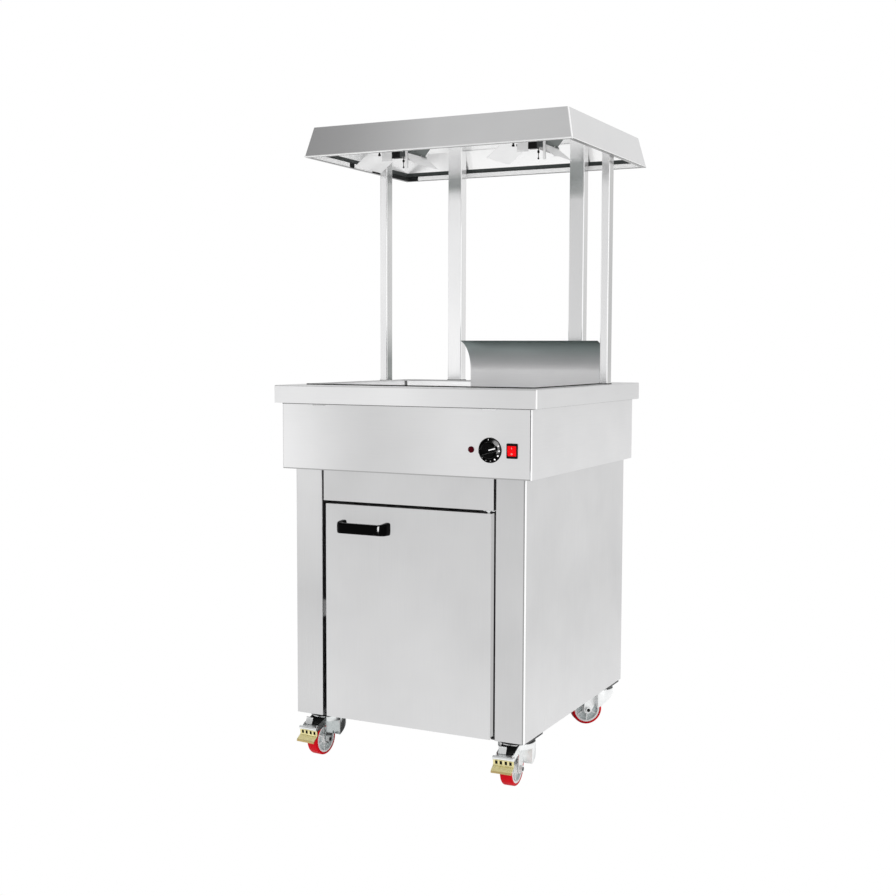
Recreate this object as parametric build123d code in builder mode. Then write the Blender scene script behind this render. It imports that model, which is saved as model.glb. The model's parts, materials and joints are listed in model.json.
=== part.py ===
"""Heated chip scuttle on castors: cupboard, control housing, worktop with a heated well, gantry and hood.

Millimetres. Front is -Y, right (seen from the front) is +X, up is +Z, floor at Z = 0 under the worktop centre.
"""
import os
from math import cos, hypot, radians, sin

from build123d import *

os.makedirs("parts", exist_ok=True)

# Sheet metal and fits
sheet = 1.5
thick_sheet = 3.0
bend_radius = 2.5
running_fit = 0.05
bolt_fit = 0.2
small_gap = 0.3

# Worktop
worktop_width = 672.0
worktop_depth = 700.0
worktop_top = 900.0
worktop_edge = 42.0
worktop_hem = 5.0

# Heated well
well_side_margin = 40.0
well_front_margin = 78.0
well_back_margin = 117.0
well_corner = 8.0
well_depth = 150.0
well_flange = 7.0
element_radius = 4.5
element_lane = 110.0
element_inset = 60.0
clamp_width = 20.0
clamp_spacing = 150.0

# Drain tray and chip guard
tray_clearance = 3.0
tray_height = 30.0
tray_hole_radius = 6.0
tray_hole_pitch_x = 58.0
tray_hole_pitch_y = 58.0
tray_hole_columns = 9
tray_hole_rows = 7
guard_width = 380.0
guard_right_gap = 9.0
guard_back_gap = 8.0
guard_foot = 60.0
guard_bend_height = 30.0
guard_radius = 80.0
guard_sweep = 78.0

# Control housing
housing_side_setback = 16.0
housing_front_setback = 12.0
housing_back_setback = 6.0
housing_foot = 156.0
panel_seam = 1.5
panel_return = 15.0
floor_lip = 20.0
slot_length = 35.0
slot_height = 4.0
slot_drop = 3.0
slot_spacing = 436.0

# Controls
control_height = 63.0
knob_from_edge = 97.5
indicator_pitch = 46.5
switch_pitch = 52.5
knob_skirt_radius = 28.5
knob_skirt = 6.0
knob_reach = 24.0
knob_bar_width = 15.0
knob_bar_length = 40.0
knob_hub_radius = 19.0
knob_hub = 9.0
knob_skirt_taper = 20.0
knob_hub_taper = 12.0
knob_bar_taper = 6.0
knob_round = 1.5
knob_pointer_angle = 75.0
spindle_radius = 3.0
spindle_reach = 16.0
spindle_hole_gap = 1.0
thermostat_side = 40.0
thermostat_depth = 35.0
indicator_radius = 7.2
indicator_rim = 2.0
indicator_neck_radius = 5.0
indicator_dome = 4.0
indicator_step = 1.0
indicator_taper = 25.0
switch_bezel_width = 25.5
switch_bezel_height = 33.0
switch_bezel = 2.5
switch_bezel_corner = 2.0
switch_body_width = 23.5
switch_body_height = 29.0
switch_body_depth = 26.0
switch_wall = 2.0
switch_side_wall = 1.0
rocker_gap = 0.6
rocker_pin_radius = 1.5
rocker_pivot_depth = 2.0
rocker_rise = 5.5
rocker_tilt = 10.0
gland_from_edge = 70.0
gland_height = 58.0
gland_reach = 18.0
gland_nut_radius = 13.0
gland_nut = 6.0
gland_collar_radius = 10.0
gland_taper = 8.0
gland_tail_radius = 8.0
gland_tail = 12.0
gland_bore_radius = 4.5

# Cupboard
cabinet_side_setback = 22.0
cabinet_front_setback = 23.0
pillar_width = 72.0
pillar_depth = 28.0
pillar_tail = 24.0
back_return = 20.0
floor_sheet = 2.0
rail_height = 74.0
rail_seam = 5.0
rail_tab_setback = 8.0

# Door
door_side_gap = 10.5
door_top_gap = 7.0
door_depth = 22.0
door_hinge_gap = 1.0
hinge_inset = 10.5
hinge_depth = 11.0
hinge_pin_radius = 4.0
hinge_pin_reach = 12.0
hinge_leaf = 28.0
strap_length = 74.0
strap_tip_radius = 8.0
strap_inner = 14.0
strap_outer = 1.5
catch_width = 18.0
catch_depth = 14.0
catch_height = 40.0
handle_length = 132.0
handle_height = 22.0
handle_reach = 35.0
handle_grip = 12.0
handle_foot = 17.0
handle_corner = 16.0
handle_from_door_edge = 43.0
handle_from_door_top = 56.0
handle_pad = 7.0
handle_pad_rise = 6.0
handle_pad_taper = 20.0
handle_round = 4.0
handle_screw_radius = 2.5
handle_screw_head_radius = 5.0
handle_screw_head = 3.0
handle_screw_reach = 10.0

# Gantry posts
side_post_width = 20.0
back_post_width = 40.0
post_depth = 32.0
post_corner = 2.0
post_plate = 3.0
side_post_from_edge = 24.0
side_post_from_back = 197.0
back_post_spread = 354.0
back_post_from_back = 40.0
post_bolt_radius = 3.0
post_bolt_head_radius = 5.0
post_bolt_head = 4.0
post_bolt_reach = 12.0
post_bolt_pitch = 20.0

# Hood
hood_side_overhang = 14.0
hood_depth = 529.0
hood_clear = 553.0
hood_height = 74.0
hood_slope = 17.0
hood_back_inset = 11.0
hood_gutter = 11.0
hood_lip = 12.0

# Heat lamps
lamp_spacing = 360.0
lamp_front = -96.0
lamp_length = 132.0
lamp_half_width = 82.0
lamp_flat_half = 43.5
lamp_wing_rise = 31.0
lamp_below_hood = 16.0
reflector_sheet = 1.2
lamp_hanger = 2.0
mount_spread = 45.0
mount_flange = 10.0
hanger_overhang = 14.0
hanger_tongue = 25.0
hanger_leg_left = 28.0
hanger_leg_right = 7.0
hanger_leg_drop = 25.0
hanger_long_drop = 46.0
holder_width = 22.0
holder_height = 17.0
holder_depth = 13.0
holder_shift = 41.0
holder_drop = 3.0
terminal_width = 15.0
terminal_height = 12.0
terminal_depth = 11.0
tube_radius = 5.0
tube_seat = 5.0
tube_clip = 14.0
tube_clip_overhang = 3.0

# Castors
caster_height = 108.0
caster_front_from_end = 68.0
caster_rear_from_end = 60.0
caster_plate_width = 92.0
caster_plate_depth = 100.0
caster_plate = 4.0
caster_plate_corner = 8.0
caster_bolt_pitch_x = 68.0
caster_bolt_pitch_y = 64.0
caster_bolt_radius = 4.0
caster_bolt_head_radius = 6.5
caster_bolt_head = 5.0
caster_bolt_reach = 6.0
race_radius = 34.0
race_height = 8.0
kingpin_radius = 6.0
kingpin_head_radius = 9.0
kingpin_head = 4.0
crown_radius = 43.0
crown_height = 11.7
cowl_front = 10.0
cowl_bottom = 48.0
fork_leg = 3.0
fork_leg_front = 38.0
fork_shoulder = 62.0
fork_side_gap = 3.5
fork_boss_radius = 10.5
wheel_radius = 40.0
wheel_width = 29.0
tread_thickness = 6.0
tread_round = 4.0
hub_inset = 1.0
hub_rim = 5.0
hub_recess = 8.0
hub_boss_radius = 12.0
hub_boss_gap = 1.0
axle_radius = 5.0
axle_head_radius = 8.0
axle_head = 6.0
trail = 30.0
trail_angles = {
    "front_left": -94.0,
    "front_right": -88.0,
    "rear_left": -142.0,
    "rear_right": -142.0,
}

# Brake pedals
pedal_pivot_forward = 40.0
pedal_pivot_height = 76.0
pedal_pivot_boss = 7.5
pedal_pin_radius = 3.0
pedal_bar_radius = 4.5
pedal_width = 50.0
pedal_thickness = 3.0
pedal_roll = (53.0, 75.5)
pedal_roll_radius = 4.5
pedal_plate_top = (52.0, 68.0)
pedal_plate_bend = (51.0, 57.0)
pedal_plate_end = (66.0, 45.0)
pedal_top_rise = 4.0
pedal_bend_rise = 2.0
pedal_end_rise = 1.0
pedal_lap = 1.0

# Levels and faces that follow from the sizes above
worktop_under = worktop_top - sheet
worktop_edge_bottom = worktop_top - worktop_edge
housing_bottom = worktop_under - housing_foot - worktop_edge + sheet
housing_height = worktop_under - housing_bottom
housing_width = worktop_width - 2 * housing_side_setback
housing_front = -worktop_depth / 2 + housing_front_setback
body_back = worktop_depth / 2 - housing_back_setback
body_back_inner = body_back - sheet
cabinet_width = housing_width - 2 * cabinet_side_setback
cabinet_front = housing_front + cabinet_front_setback
cabinet_bottom = caster_height
cabinet_height = housing_bottom - cabinet_bottom
pillar_inner = cabinet_width / 2 - pillar_width
pillar_back = cabinet_front + pillar_depth
floor_top = cabinet_bottom + floor_sheet
rail_bottom = housing_bottom - rail_height

well_width = worktop_width - 2 * well_side_margin
well_front = -worktop_depth / 2 + well_front_margin
well_back = worktop_depth / 2 - well_back_margin
well_length = well_back - well_front
well_middle = (well_front + well_back) / 2
well_floor = worktop_top - well_depth
well_under = well_floor - sheet
tray_top = well_floor + tray_height

door_half_width = pillar_inner - door_side_gap
door_top = rail_bottom - door_top_gap
door_back = cabinet_front + door_depth
door_return_bottom = floor_top + thick_sheet + door_hinge_gap
hinge_x = door_half_width - hinge_inset
hinge_y = cabinet_front + hinge_depth

panel_z = housing_bottom + control_height
knob_x = housing_width / 2 - knob_from_edge
indicator_x = knob_x - indicator_pitch
switch_x = knob_x + switch_pitch
gland_x = gland_from_edge - housing_width / 2

hood_width = worktop_width + 2 * hood_side_overhang
hood_bottom = worktop_top + hood_clear
hood_top = hood_bottom + hood_height
hood_back = worktop_depth / 2 - hood_back_inset
hood_middle = hood_back - hood_depth / 2
hood_under = hood_top - sheet
post_height = hood_under - worktop_top
side_post_x = worktop_width / 2 - side_post_from_edge
side_post_y = worktop_depth / 2 - side_post_from_back
back_post_x = back_post_spread / 2
back_post_y = worktop_depth / 2 - back_post_from_back
side_bolt_shifts = (0.0,)
back_bolt_shifts = (-post_bolt_pitch / 2, post_bolt_pitch / 2)
post_shapes = (
    ("left_post", -side_post_x, side_post_y, side_post_width, side_bolt_shifts),
    ("right_post", side_post_x, side_post_y, side_post_width, side_bolt_shifts),
    ("back_left_post", -back_post_x, back_post_y, back_post_width, back_bolt_shifts),
    ("back_right_post", back_post_x, back_post_y, back_post_width, back_bolt_shifts),
)
post_bolt_places = [(x + shift, y) for _, x, y, _, shifts in post_shapes for shift in shifts]

lamp_low = hood_bottom - lamp_below_hood
lamp_flat = lamp_low + lamp_wing_rise
lamp_roof = lamp_flat + reflector_sheet
lamp_back = lamp_front + lamp_length
lamp_centres = [-lamp_spacing / 2, lamp_spacing / 2]

caster_x = cabinet_width / 2 - caster_plate_width / 2
caster_front_y = cabinet_front + caster_front_from_end
caster_rear_y = body_back - caster_rear_from_end
caster_centres = {
    "front_left": (-caster_x, caster_front_y),
    "front_right": (caster_x, caster_front_y),
    "rear_left": (-caster_x, caster_rear_y),
    "rear_right": (caster_x, caster_rear_y),
}
race_bottom = caster_height - caster_plate - race_height
crown_top = race_bottom - small_gap
crown_bottom = crown_top - crown_height
leg_inner = wheel_width / 2 + fork_side_gap
leg_outer = leg_inner + fork_leg


def facing_front(y):
    """Plane square to Y, its normal towards the front, at the given Y."""
    return Plane.XZ.offset(-y)


def hand_over(builder, label):
    """Name a finished piece and write its file."""
    builder.part.label = label
    export_step(builder.part, f"parts/{label}.step")


# Cupboard: folded side panels with the front pillars, back, floor and the rail above the door
for side, label in ((-1, "left_side_panel"), (1, "right_side_panel")):
    with BuildPart() as side_panel:
        with BuildSketch(Plane.XY.offset(cabinet_bottom)):
            with Locations((side * (cabinet_width - sheet) / 2, (cabinet_front + body_back_inner) / 2)):
                Rectangle(sheet, body_back_inner - cabinet_front)
            with Locations((side * (cabinet_width - pillar_width) / 2, cabinet_front + sheet / 2)):
                Rectangle(pillar_width, sheet)
            with Locations((side * (pillar_inner + sheet / 2), cabinet_front + pillar_depth / 2)):
                Rectangle(sheet, pillar_depth)
            with Locations((side * (pillar_inner + pillar_tail / 2), pillar_back - sheet / 2)):
                Rectangle(pillar_tail, sheet)
            with Locations((side * (cabinet_width - back_return) / 2, body_back_inner - sheet / 2)):
                Rectangle(back_return, sheet)
        extrude(amount=cabinet_height)
        front_bends = side_panel.edges().filter_by(Axis.Z).filter_by_position(
            Axis.Y, cabinet_front - running_fit, cabinet_front + running_fit)
        fillet(front_bends, bend_radius)
    hand_over(side_panel, label)

with BuildPart() as back_panel:
    with BuildSketch(facing_front(body_back)):
        with Locations((0, cabinet_bottom + cabinet_height / 2)):
            Rectangle(cabinet_width, cabinet_height)
    extrude(amount=sheet)
hand_over(back_panel, "back_panel")

floor_front = pillar_back + small_gap
floor_back = body_back_inner - sheet
floor_half_width = cabinet_width / 2 - sheet
with BuildPart() as cabinet_floor:
    with BuildSketch(Plane.XY.offset(cabinet_bottom)):
        with Locations((0, (floor_front + floor_back) / 2)):
            Rectangle(2 * floor_half_width, floor_back - floor_front)
    extrude(amount=floor_sheet)
    with BuildSketch(Plane.XY.offset(floor_top)):
        for side in (-1, 1):
            with Locations((side * (floor_half_width - floor_sheet / 2), (floor_front + floor_back) / 2)):
                Rectangle(floor_sheet, floor_back - floor_front)
    extrude(amount=floor_lip)
    with BuildSketch(Plane.XY.offset(cabinet_bottom)):
        for centre in caster_centres.values():
            with Locations(centre):
                with GridLocations(caster_bolt_pitch_x, caster_bolt_pitch_y, 2, 2):
                    Circle(caster_bolt_radius + bolt_fit)
    extrude(amount=floor_sheet, mode=Mode.SUBTRACT)
hand_over(cabinet_floor, "cabinet_floor")

rail_half_width = pillar_inner - rail_seam
rail_tab_depth = pillar_depth - rail_tab_setback
with BuildPart() as door_rail:
    with BuildSketch(facing_front(cabinet_front)):
        with Locations((0, rail_bottom + rail_height / 2)):
            Rectangle(2 * rail_half_width, rail_height)
    extrude(amount=-sheet)
    for level in (rail_bottom, housing_bottom - sheet):
        with BuildSketch(Plane.XY.offset(level)):
            with Locations((0, cabinet_front + pillar_depth / 2)):
                Rectangle(2 * rail_half_width, pillar_depth)
            with Locations((0, pillar_back - rail_tab_depth / 2)):
                Rectangle(2 * pillar_inner, rail_tab_depth)
        extrude(amount=sheet)
    rail_bend = door_rail.edges().filter_by(Axis.X).group_by(Axis.Y)[0].group_by(Axis.Z)[0]
    fillet(rail_bend, bend_radius - sheet)
hand_over(door_rail, "door_rail")

# Door: folded skin, liner, bow handle and its screws
with BuildPart() as door_skin:
    with BuildSketch(facing_front(cabinet_front)):
        with Locations((0, (cabinet_bottom + door_top) / 2)):
            Rectangle(2 * door_half_width, door_top - cabinet_bottom)
    extrude(amount=-sheet)
    with BuildSketch(facing_front(cabinet_front)):
        with Locations((0, (door_return_bottom + door_top) / 2)):
            Rectangle(2 * door_half_width, door_top - door_return_bottom)
            Rectangle(2 * (door_half_width - sheet), door_top - door_return_bottom - 2 * sheet,
                      mode=Mode.SUBTRACT)
    extrude(amount=-(door_depth - sheet))
    with BuildSketch(Plane.XY.offset(door_return_bottom)):
        with Locations((hinge_x, hinge_y)):
            Circle(hinge_pin_radius + running_fit)
    extrude(amount=door_top - door_return_bottom, mode=Mode.SUBTRACT)
    handle_x = -door_half_width + handle_from_door_edge + handle_length / 2
    handle_z = door_top - handle_from_door_top
    handle_foot_pitch = handle_length - handle_foot
    with BuildSketch(facing_front(cabinet_front)):
        with Locations((handle_x, handle_z)):
            with GridLocations(handle_foot_pitch, 0, 2, 1):
                Circle(handle_screw_radius + bolt_fit)
    extrude(amount=-sheet, mode=Mode.SUBTRACT)
    skin_bends = door_skin.edges().filter_by(Axis.Z).group_by(Axis.Y)[0]
    fillet(skin_bends, bend_radius - sheet)
hand_over(door_skin, "door_skin")

with BuildPart() as door_liner:
    with BuildSketch(facing_front(door_back)):
        with Locations((0, (door_return_bottom + door_top) / 2)):
            Rectangle(2 * door_half_width, door_top - door_return_bottom)
    extrude(amount=sheet)
hand_over(door_liner, "door_liner")

with BuildPart() as door_handle:
    with BuildSketch(Plane.XY.offset(handle_z - handle_height / 2)):
        with Locations((handle_x, cabinet_front - handle_reach / 2)):
            Rectangle(handle_length, handle_reach)
        with Locations((handle_x, cabinet_front - (handle_reach - handle_grip) / 2)):
            Rectangle(handle_length - 2 * handle_foot, handle_reach - handle_grip, mode=Mode.SUBTRACT)
    extrude(amount=handle_height)
    outer_corners = door_handle.edges().filter_by(Axis.Z).group_by(Axis.Y)[0]
    fillet(outer_corners, handle_corner)
    inner_corners = door_handle.edges().filter_by(Axis.Z).filter_by_position(
        Axis.Y, cabinet_front - handle_reach + handle_grip - running_fit,
        cabinet_front - handle_reach + handle_grip + running_fit)
    fillet(inner_corners, handle_corner - handle_grip + handle_round)
    rims = door_handle.faces().filter_by(Plane.XY).edges().filter_by_position(
        Axis.Y, cabinet_front - handle_reach - running_fit, cabinet_front - running_fit)
    fillet(rims, handle_round)
    with BuildSketch(facing_front(cabinet_front)):
        with Locations((handle_x, handle_z)):
            with GridLocations(handle_foot_pitch, 0, 2, 1):
                Rectangle(handle_foot, handle_height + 2 * handle_pad_rise)
    extrude(amount=handle_pad, taper=handle_pad_taper)
    with BuildSketch(facing_front(cabinet_front)):
        with Locations((handle_x, handle_z)):
            with GridLocations(handle_foot_pitch, 0, 2, 1):
                Circle(handle_screw_radius)
    extrude(amount=handle_screw_reach, mode=Mode.SUBTRACT)
hand_over(door_handle, "door_handle")

with BuildPart() as handle_screws:
    with BuildSketch(facing_front(cabinet_front + sheet)):
        with Locations((handle_x, handle_z)):
            with GridLocations(handle_foot_pitch, 0, 2, 1):
                Circle(handle_screw_head_radius)
    extrude(amount=-handle_screw_head)
    with BuildSketch(facing_front(cabinet_front + sheet)):
        with Locations((handle_x, handle_z)):
            with GridLocations(handle_foot_pitch, 0, 2, 1):
                Circle(handle_screw_radius)
    extrude(amount=sheet + handle_screw_reach - small_gap)
hand_over(handle_screws, "handle_screws")

# Door hinges and the magnet catch
with BuildPart() as upper_hinge:
    with BuildSketch(Plane.XY.offset(rail_bottom - thick_sheet)):
        with Locations((hinge_x, (hinge_y + pillar_back) / 2)):
            Rectangle(hinge_leaf, pillar_back - hinge_y)
        with Locations((hinge_x, hinge_y)):
            Circle(strap_tip_radius)
            Circle(hinge_pin_radius + running_fit, mode=Mode.SUBTRACT)
    extrude(amount=thick_sheet)
hand_over(upper_hinge, "upper_hinge")

with BuildPart() as lower_hinge:
    with BuildSketch(Plane.XY.offset(floor_top)):
        with Locations((hinge_x + (strap_outer - strap_inner) / 2, hinge_y + strap_length / 2)):
            Rectangle(strap_outer + strap_inner, strap_length)
        with Locations((hinge_x, hinge_y)):
            Circle(strap_tip_radius)
            Circle(hinge_pin_radius + running_fit, mode=Mode.SUBTRACT)
    extrude(amount=thick_sheet)
hand_over(lower_hinge, "lower_hinge")

with BuildPart() as hinge_pins:
    with BuildSketch(Plane.XY.offset(door_top - hinge_pin_reach)):
        with Locations((hinge_x, hinge_y)):
            Circle(hinge_pin_radius)
    extrude(amount=hinge_pin_reach + door_top_gap)
    with BuildSketch(Plane.XY.offset(floor_top)):
        with Locations((hinge_x, hinge_y)):
            Circle(hinge_pin_radius)
    extrude(amount=thick_sheet + door_hinge_gap + hinge_pin_reach)
hand_over(hinge_pins, "hinge_pins")

with BuildPart() as magnet_catch:
    with BuildSketch(Plane.XY.offset((cabinet_bottom + door_top - catch_height) / 2)):
        with Locations((-pillar_inner + catch_width / 2, door_back + small_gap + catch_depth / 2)):
            Rectangle(catch_width, catch_depth)
    extrude(amount=catch_height)
hand_over(magnet_catch, "magnet_catch")

# Control housing: wrap round the sides and back, floor and control panel
housing_half_inner = housing_width / 2 - sheet
panel_back = housing_front + sheet
gland_z = housing_bottom + gland_height
with BuildPart() as housing_shell:
    with BuildSketch(Plane.XY.offset(housing_bottom)):
        with Locations((0, (housing_front + body_back) / 2)):
            Rectangle(housing_width, body_back - housing_front)
        with Locations((0, (housing_front + body_back_inner) / 2)):
            Rectangle(2 * housing_half_inner, body_back_inner - housing_front, mode=Mode.SUBTRACT)
    extrude(amount=housing_height)
    back_bends = housing_shell.edges().filter_by(Axis.Z).group_by(Axis.Y)[-1]
    fillet(back_bends, bend_radius)
    with BuildSketch(facing_front(body_back)):
        with Locations((gland_x, gland_z)):
            Circle(gland_tail_radius + bolt_fit)
    extrude(amount=sheet, mode=Mode.SUBTRACT)
hand_over(housing_shell, "housing_shell")

with BuildPart() as housing_floor:
    with BuildSketch(Plane.XY.offset(housing_bottom)):
        with Locations((0, (panel_back + body_back_inner) / 2)):
            Rectangle(2 * housing_half_inner, body_back_inner - panel_back)
    extrude(amount=sheet)
    with BuildSketch(Plane.XY.offset(housing_bottom)):
        with Locations((0, panel_back + sheet / 2)):
            Rectangle(2 * housing_half_inner, sheet)
    extrude(amount=floor_lip)
hand_over(housing_floor, "housing_floor")

panel_half_width = housing_half_inner - panel_seam
panel_middle = housing_bottom + housing_height / 2
return_bottom = housing_bottom + floor_lip + small_gap
slot_z = worktop_edge_bottom - slot_drop
switch_cut_width = switch_body_width + 2 * bolt_fit
switch_cut_height = switch_body_height + 2 * bolt_fit
with BuildPart() as control_panel:
    with BuildSketch(facing_front(housing_front)):
        with Locations((0, panel_middle)):
            Rectangle(2 * panel_half_width, housing_height)
        with Locations((0, slot_z)):
            with GridLocations(slot_spacing, 0, 2, 1):
                SlotOverall(slot_length, slot_height, mode=Mode.SUBTRACT)
        with Locations((knob_x, panel_z)):
            Circle(spindle_radius + spindle_hole_gap, mode=Mode.SUBTRACT)
        with Locations((indicator_x, panel_z)):
            Circle(indicator_neck_radius + bolt_fit, mode=Mode.SUBTRACT)
        with Locations((switch_x, panel_z)):
            Rectangle(switch_cut_width, switch_cut_height, mode=Mode.SUBTRACT)
    extrude(amount=-sheet)
    with BuildSketch(Plane.XY.offset(return_bottom)):
        for side in (-1, 1):
            with Locations((side * (panel_half_width - sheet / 2), housing_front + panel_return / 2)):
                Rectangle(sheet, panel_return)
    extrude(amount=worktop_under - return_bottom)
hand_over(control_panel, "control_panel")

# Worktop with the well cut-out
with BuildPart() as worktop:
    with BuildSketch(Plane.XY.offset(worktop_edge_bottom)):
        Rectangle(worktop_width, worktop_depth)
    extrude(amount=worktop_edge)
    fillet(worktop.edges().filter_by(Axis.Z), bend_radius)
    fillet(worktop.edges().group_by(Axis.Z)[-1], bend_radius)
    with BuildSketch(Plane.XY.offset(worktop_edge_bottom + sheet)):
        Rectangle(worktop_width - 2 * sheet, worktop_depth - 2 * sheet)
    extrude(amount=worktop_edge - 2 * sheet, mode=Mode.SUBTRACT)
    with BuildSketch(Plane.XY.offset(worktop_edge_bottom)):
        Rectangle(worktop_width - 2 * worktop_hem, worktop_depth - 2 * worktop_hem)
    extrude(amount=sheet, mode=Mode.SUBTRACT)
    with BuildSketch(Plane.XY.offset(worktop_under)):
        with Locations((0, well_middle)):
            RectangleRounded(well_width, well_length, well_corner)
        with Locations(*post_bolt_places):
            Circle(post_bolt_radius + bolt_fit)
    extrude(amount=sheet, mode=Mode.SUBTRACT)
hand_over(worktop, "worktop")

# Heated well: pan, heating element and the clamps that hold it
with BuildPart() as chip_pan:
    with BuildSketch(Plane.XY.offset(well_under)):
        with Locations((0, well_middle)):
            RectangleRounded(well_width + 2 * sheet, well_length + 2 * sheet, well_corner + sheet)
    extrude(amount=worktop_under - well_under)
    with BuildSketch(Plane.XY.offset(worktop_under - sheet)):
        with Locations((0, well_middle)):
            RectangleRounded(well_width + 2 * well_flange, well_length + 2 * well_flange,
                             well_corner + well_flange)
    extrude(amount=sheet)
    with BuildSketch(Plane.XY.offset(well_floor)):
        with Locations((0, well_middle)):
            RectangleRounded(well_width, well_length, well_corner)
    extrude(amount=worktop_under - well_floor, mode=Mode.SUBTRACT)
hand_over(chip_pan, "chip_pan")

element_z = well_under - small_gap - element_radius
element_front = well_front + element_inset
element_back = well_back - element_inset
with BuildPart() as heating_element:
    with BuildLine() as element_run:
        FilletPolyline(
            (-1.5 * element_lane, element_front, element_z),
            (-1.5 * element_lane, element_back, element_z),
            (-0.5 * element_lane, element_back, element_z),
            (-0.5 * element_lane, element_front, element_z),
            (0.5 * element_lane, element_front, element_z),
            (0.5 * element_lane, element_back, element_z),
            (1.5 * element_lane, element_back, element_z),
            (1.5 * element_lane, element_front, element_z),
            radius=element_lane / 2 - element_radius)
    with BuildSketch(Plane(element_run.line @ 0, z_dir=element_run.line % 0)):
        Circle(element_radius)
    sweep()
hand_over(heating_element, "heating_element")

clamp_half = 2 * element_lane
clamp_top = element_z - element_radius - small_gap
with BuildPart() as element_clamps:
    for row in (-1, 0, 1):
        with BuildSketch(facing_front(well_middle + row * clamp_spacing)):
            with Locations((0, clamp_top - sheet / 2)):
                Rectangle(2 * clamp_half, sheet)
            for side in (-1, 1):
                with Locations((side * (clamp_half - sheet / 2), (clamp_top - sheet + well_under) / 2)):
                    Rectangle(sheet, well_under - clamp_top + sheet)
        extrude(amount=clamp_width / 2, both=True)
hand_over(element_clamps, "element_clamps")

# Lift-out drain tray and the curved chip guard that stands on it
with BuildPart() as drain_tray:
    with BuildSketch(Plane.XY.offset(well_floor)):
        with Locations((0, well_middle)):
            RectangleRounded(well_width - 2 * tray_clearance, well_length - 2 * tray_clearance,
                             well_corner - tray_clearance)
    extrude(amount=tray_height)
    with BuildSketch(Plane.XY.offset(well_floor)):
        with Locations((0, well_middle)):
            RectangleRounded(well_width - 2 * tray_clearance - 2 * sheet,
                             well_length - 2 * tray_clearance - 2 * sheet,
                             well_corner - tray_clearance - sheet)
    extrude(amount=tray_height - sheet, mode=Mode.SUBTRACT)
    with BuildSketch(Plane.XY.offset(tray_top - sheet)):
        with Locations((0, well_middle)):
            with GridLocations(tray_hole_pitch_x, tray_hole_pitch_y, tray_hole_columns, tray_hole_rows):
                Circle(tray_hole_radius)
    extrude(amount=sheet, mode=Mode.SUBTRACT)
hand_over(drain_tray, "drain_tray")

guard_right = well_width / 2 - guard_right_gap
guard_left = guard_right - guard_width
guard_back = well_back - guard_back_gap
guard_bend_z = worktop_top + guard_bend_height
with BuildPart() as chip_guard:
    with BuildSketch(Plane.YZ.offset(guard_left)):
        with Locations((guard_back - guard_foot / 2, tray_top + sheet / 2)):
            Rectangle(guard_foot, sheet)
        with Locations((guard_back - sheet / 2, (tray_top + guard_bend_z) / 2)):
            Rectangle(sheet, guard_bend_z - tray_top)
        with BuildLine():
            outer_arc = CenterArc((guard_back - guard_radius, guard_bend_z), guard_radius, 0, guard_sweep)
            inner_arc = CenterArc((guard_back - guard_radius, guard_bend_z), guard_radius - sheet, 0, guard_sweep)
            Line(outer_arc @ 0, inner_arc @ 0)
            Line(outer_arc @ 1, inner_arc @ 1)
        make_face()
    extrude(amount=guard_width)
hand_over(chip_guard, "chip_guard")

# Controls: knob on its thermostat, indicator lamp, rocker switch, cable gland
with BuildPart() as thermostat_body:
    with BuildSketch(facing_front(panel_back)):
        with Locations((knob_x, panel_z)):
            Rectangle(thermostat_side, thermostat_side)
            Circle(spindle_radius + running_fit, mode=Mode.SUBTRACT)
    extrude(amount=-thermostat_depth)
hand_over(thermostat_body, "thermostat_body")

knob_back = housing_front - small_gap
knob_face = housing_front - knob_reach
with BuildPart() as thermostat_spindle:
    with BuildSketch(facing_front(knob_back - spindle_reach)):
        with Locations((knob_x, panel_z)):
            Circle(spindle_radius)
    extrude(amount=-(panel_back + thermostat_depth - knob_back + spindle_reach))
hand_over(thermostat_spindle, "thermostat_spindle")

knob_plane = Plane(origin=(knob_x, knob_back, panel_z), z_dir=(0, -1, 0),
                   x_dir=(cos(radians(90 - knob_pointer_angle)), 0, sin(radians(90 - knob_pointer_angle))))
knob_height = knob_back - knob_face
with BuildPart() as control_knob:
    with BuildSketch(knob_plane):
        Circle(knob_skirt_radius)
    extrude(amount=knob_skirt, taper=knob_skirt_taper)
    with BuildSketch(knob_plane.offset(knob_skirt)):
        Circle(knob_hub_radius)
    extrude(amount=knob_hub, taper=knob_hub_taper)
    with BuildSketch(knob_plane.offset(knob_skirt)):
        SlotOverall(knob_bar_length, knob_bar_width)
    extrude(amount=knob_height - knob_skirt, taper=knob_bar_taper)
    fillet(control_knob.faces().sort_by(Axis.Y)[0].edges(), knob_round)
    with BuildSketch(knob_plane):
        Circle(spindle_radius)
    extrude(amount=spindle_reach, mode=Mode.SUBTRACT)
hand_over(control_knob, "control_knob")

with BuildPart() as indicator_lamp:
    with BuildSketch(facing_front(housing_front)):
        with Locations((indicator_x, panel_z)):
            Circle(indicator_radius)
    extrude(amount=indicator_rim)
    with BuildSketch(facing_front(housing_front - indicator_rim)):
        with Locations((indicator_x, panel_z)):
            Circle(indicator_radius - indicator_step)
    extrude(amount=indicator_dome, taper=indicator_taper)
    with BuildSketch(facing_front(housing_front)):
        with Locations((indicator_x, panel_z)):
            Circle(indicator_neck_radius)
    extrude(amount=-switch_body_depth)
hand_over(indicator_lamp, "indicator_lamp")

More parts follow.
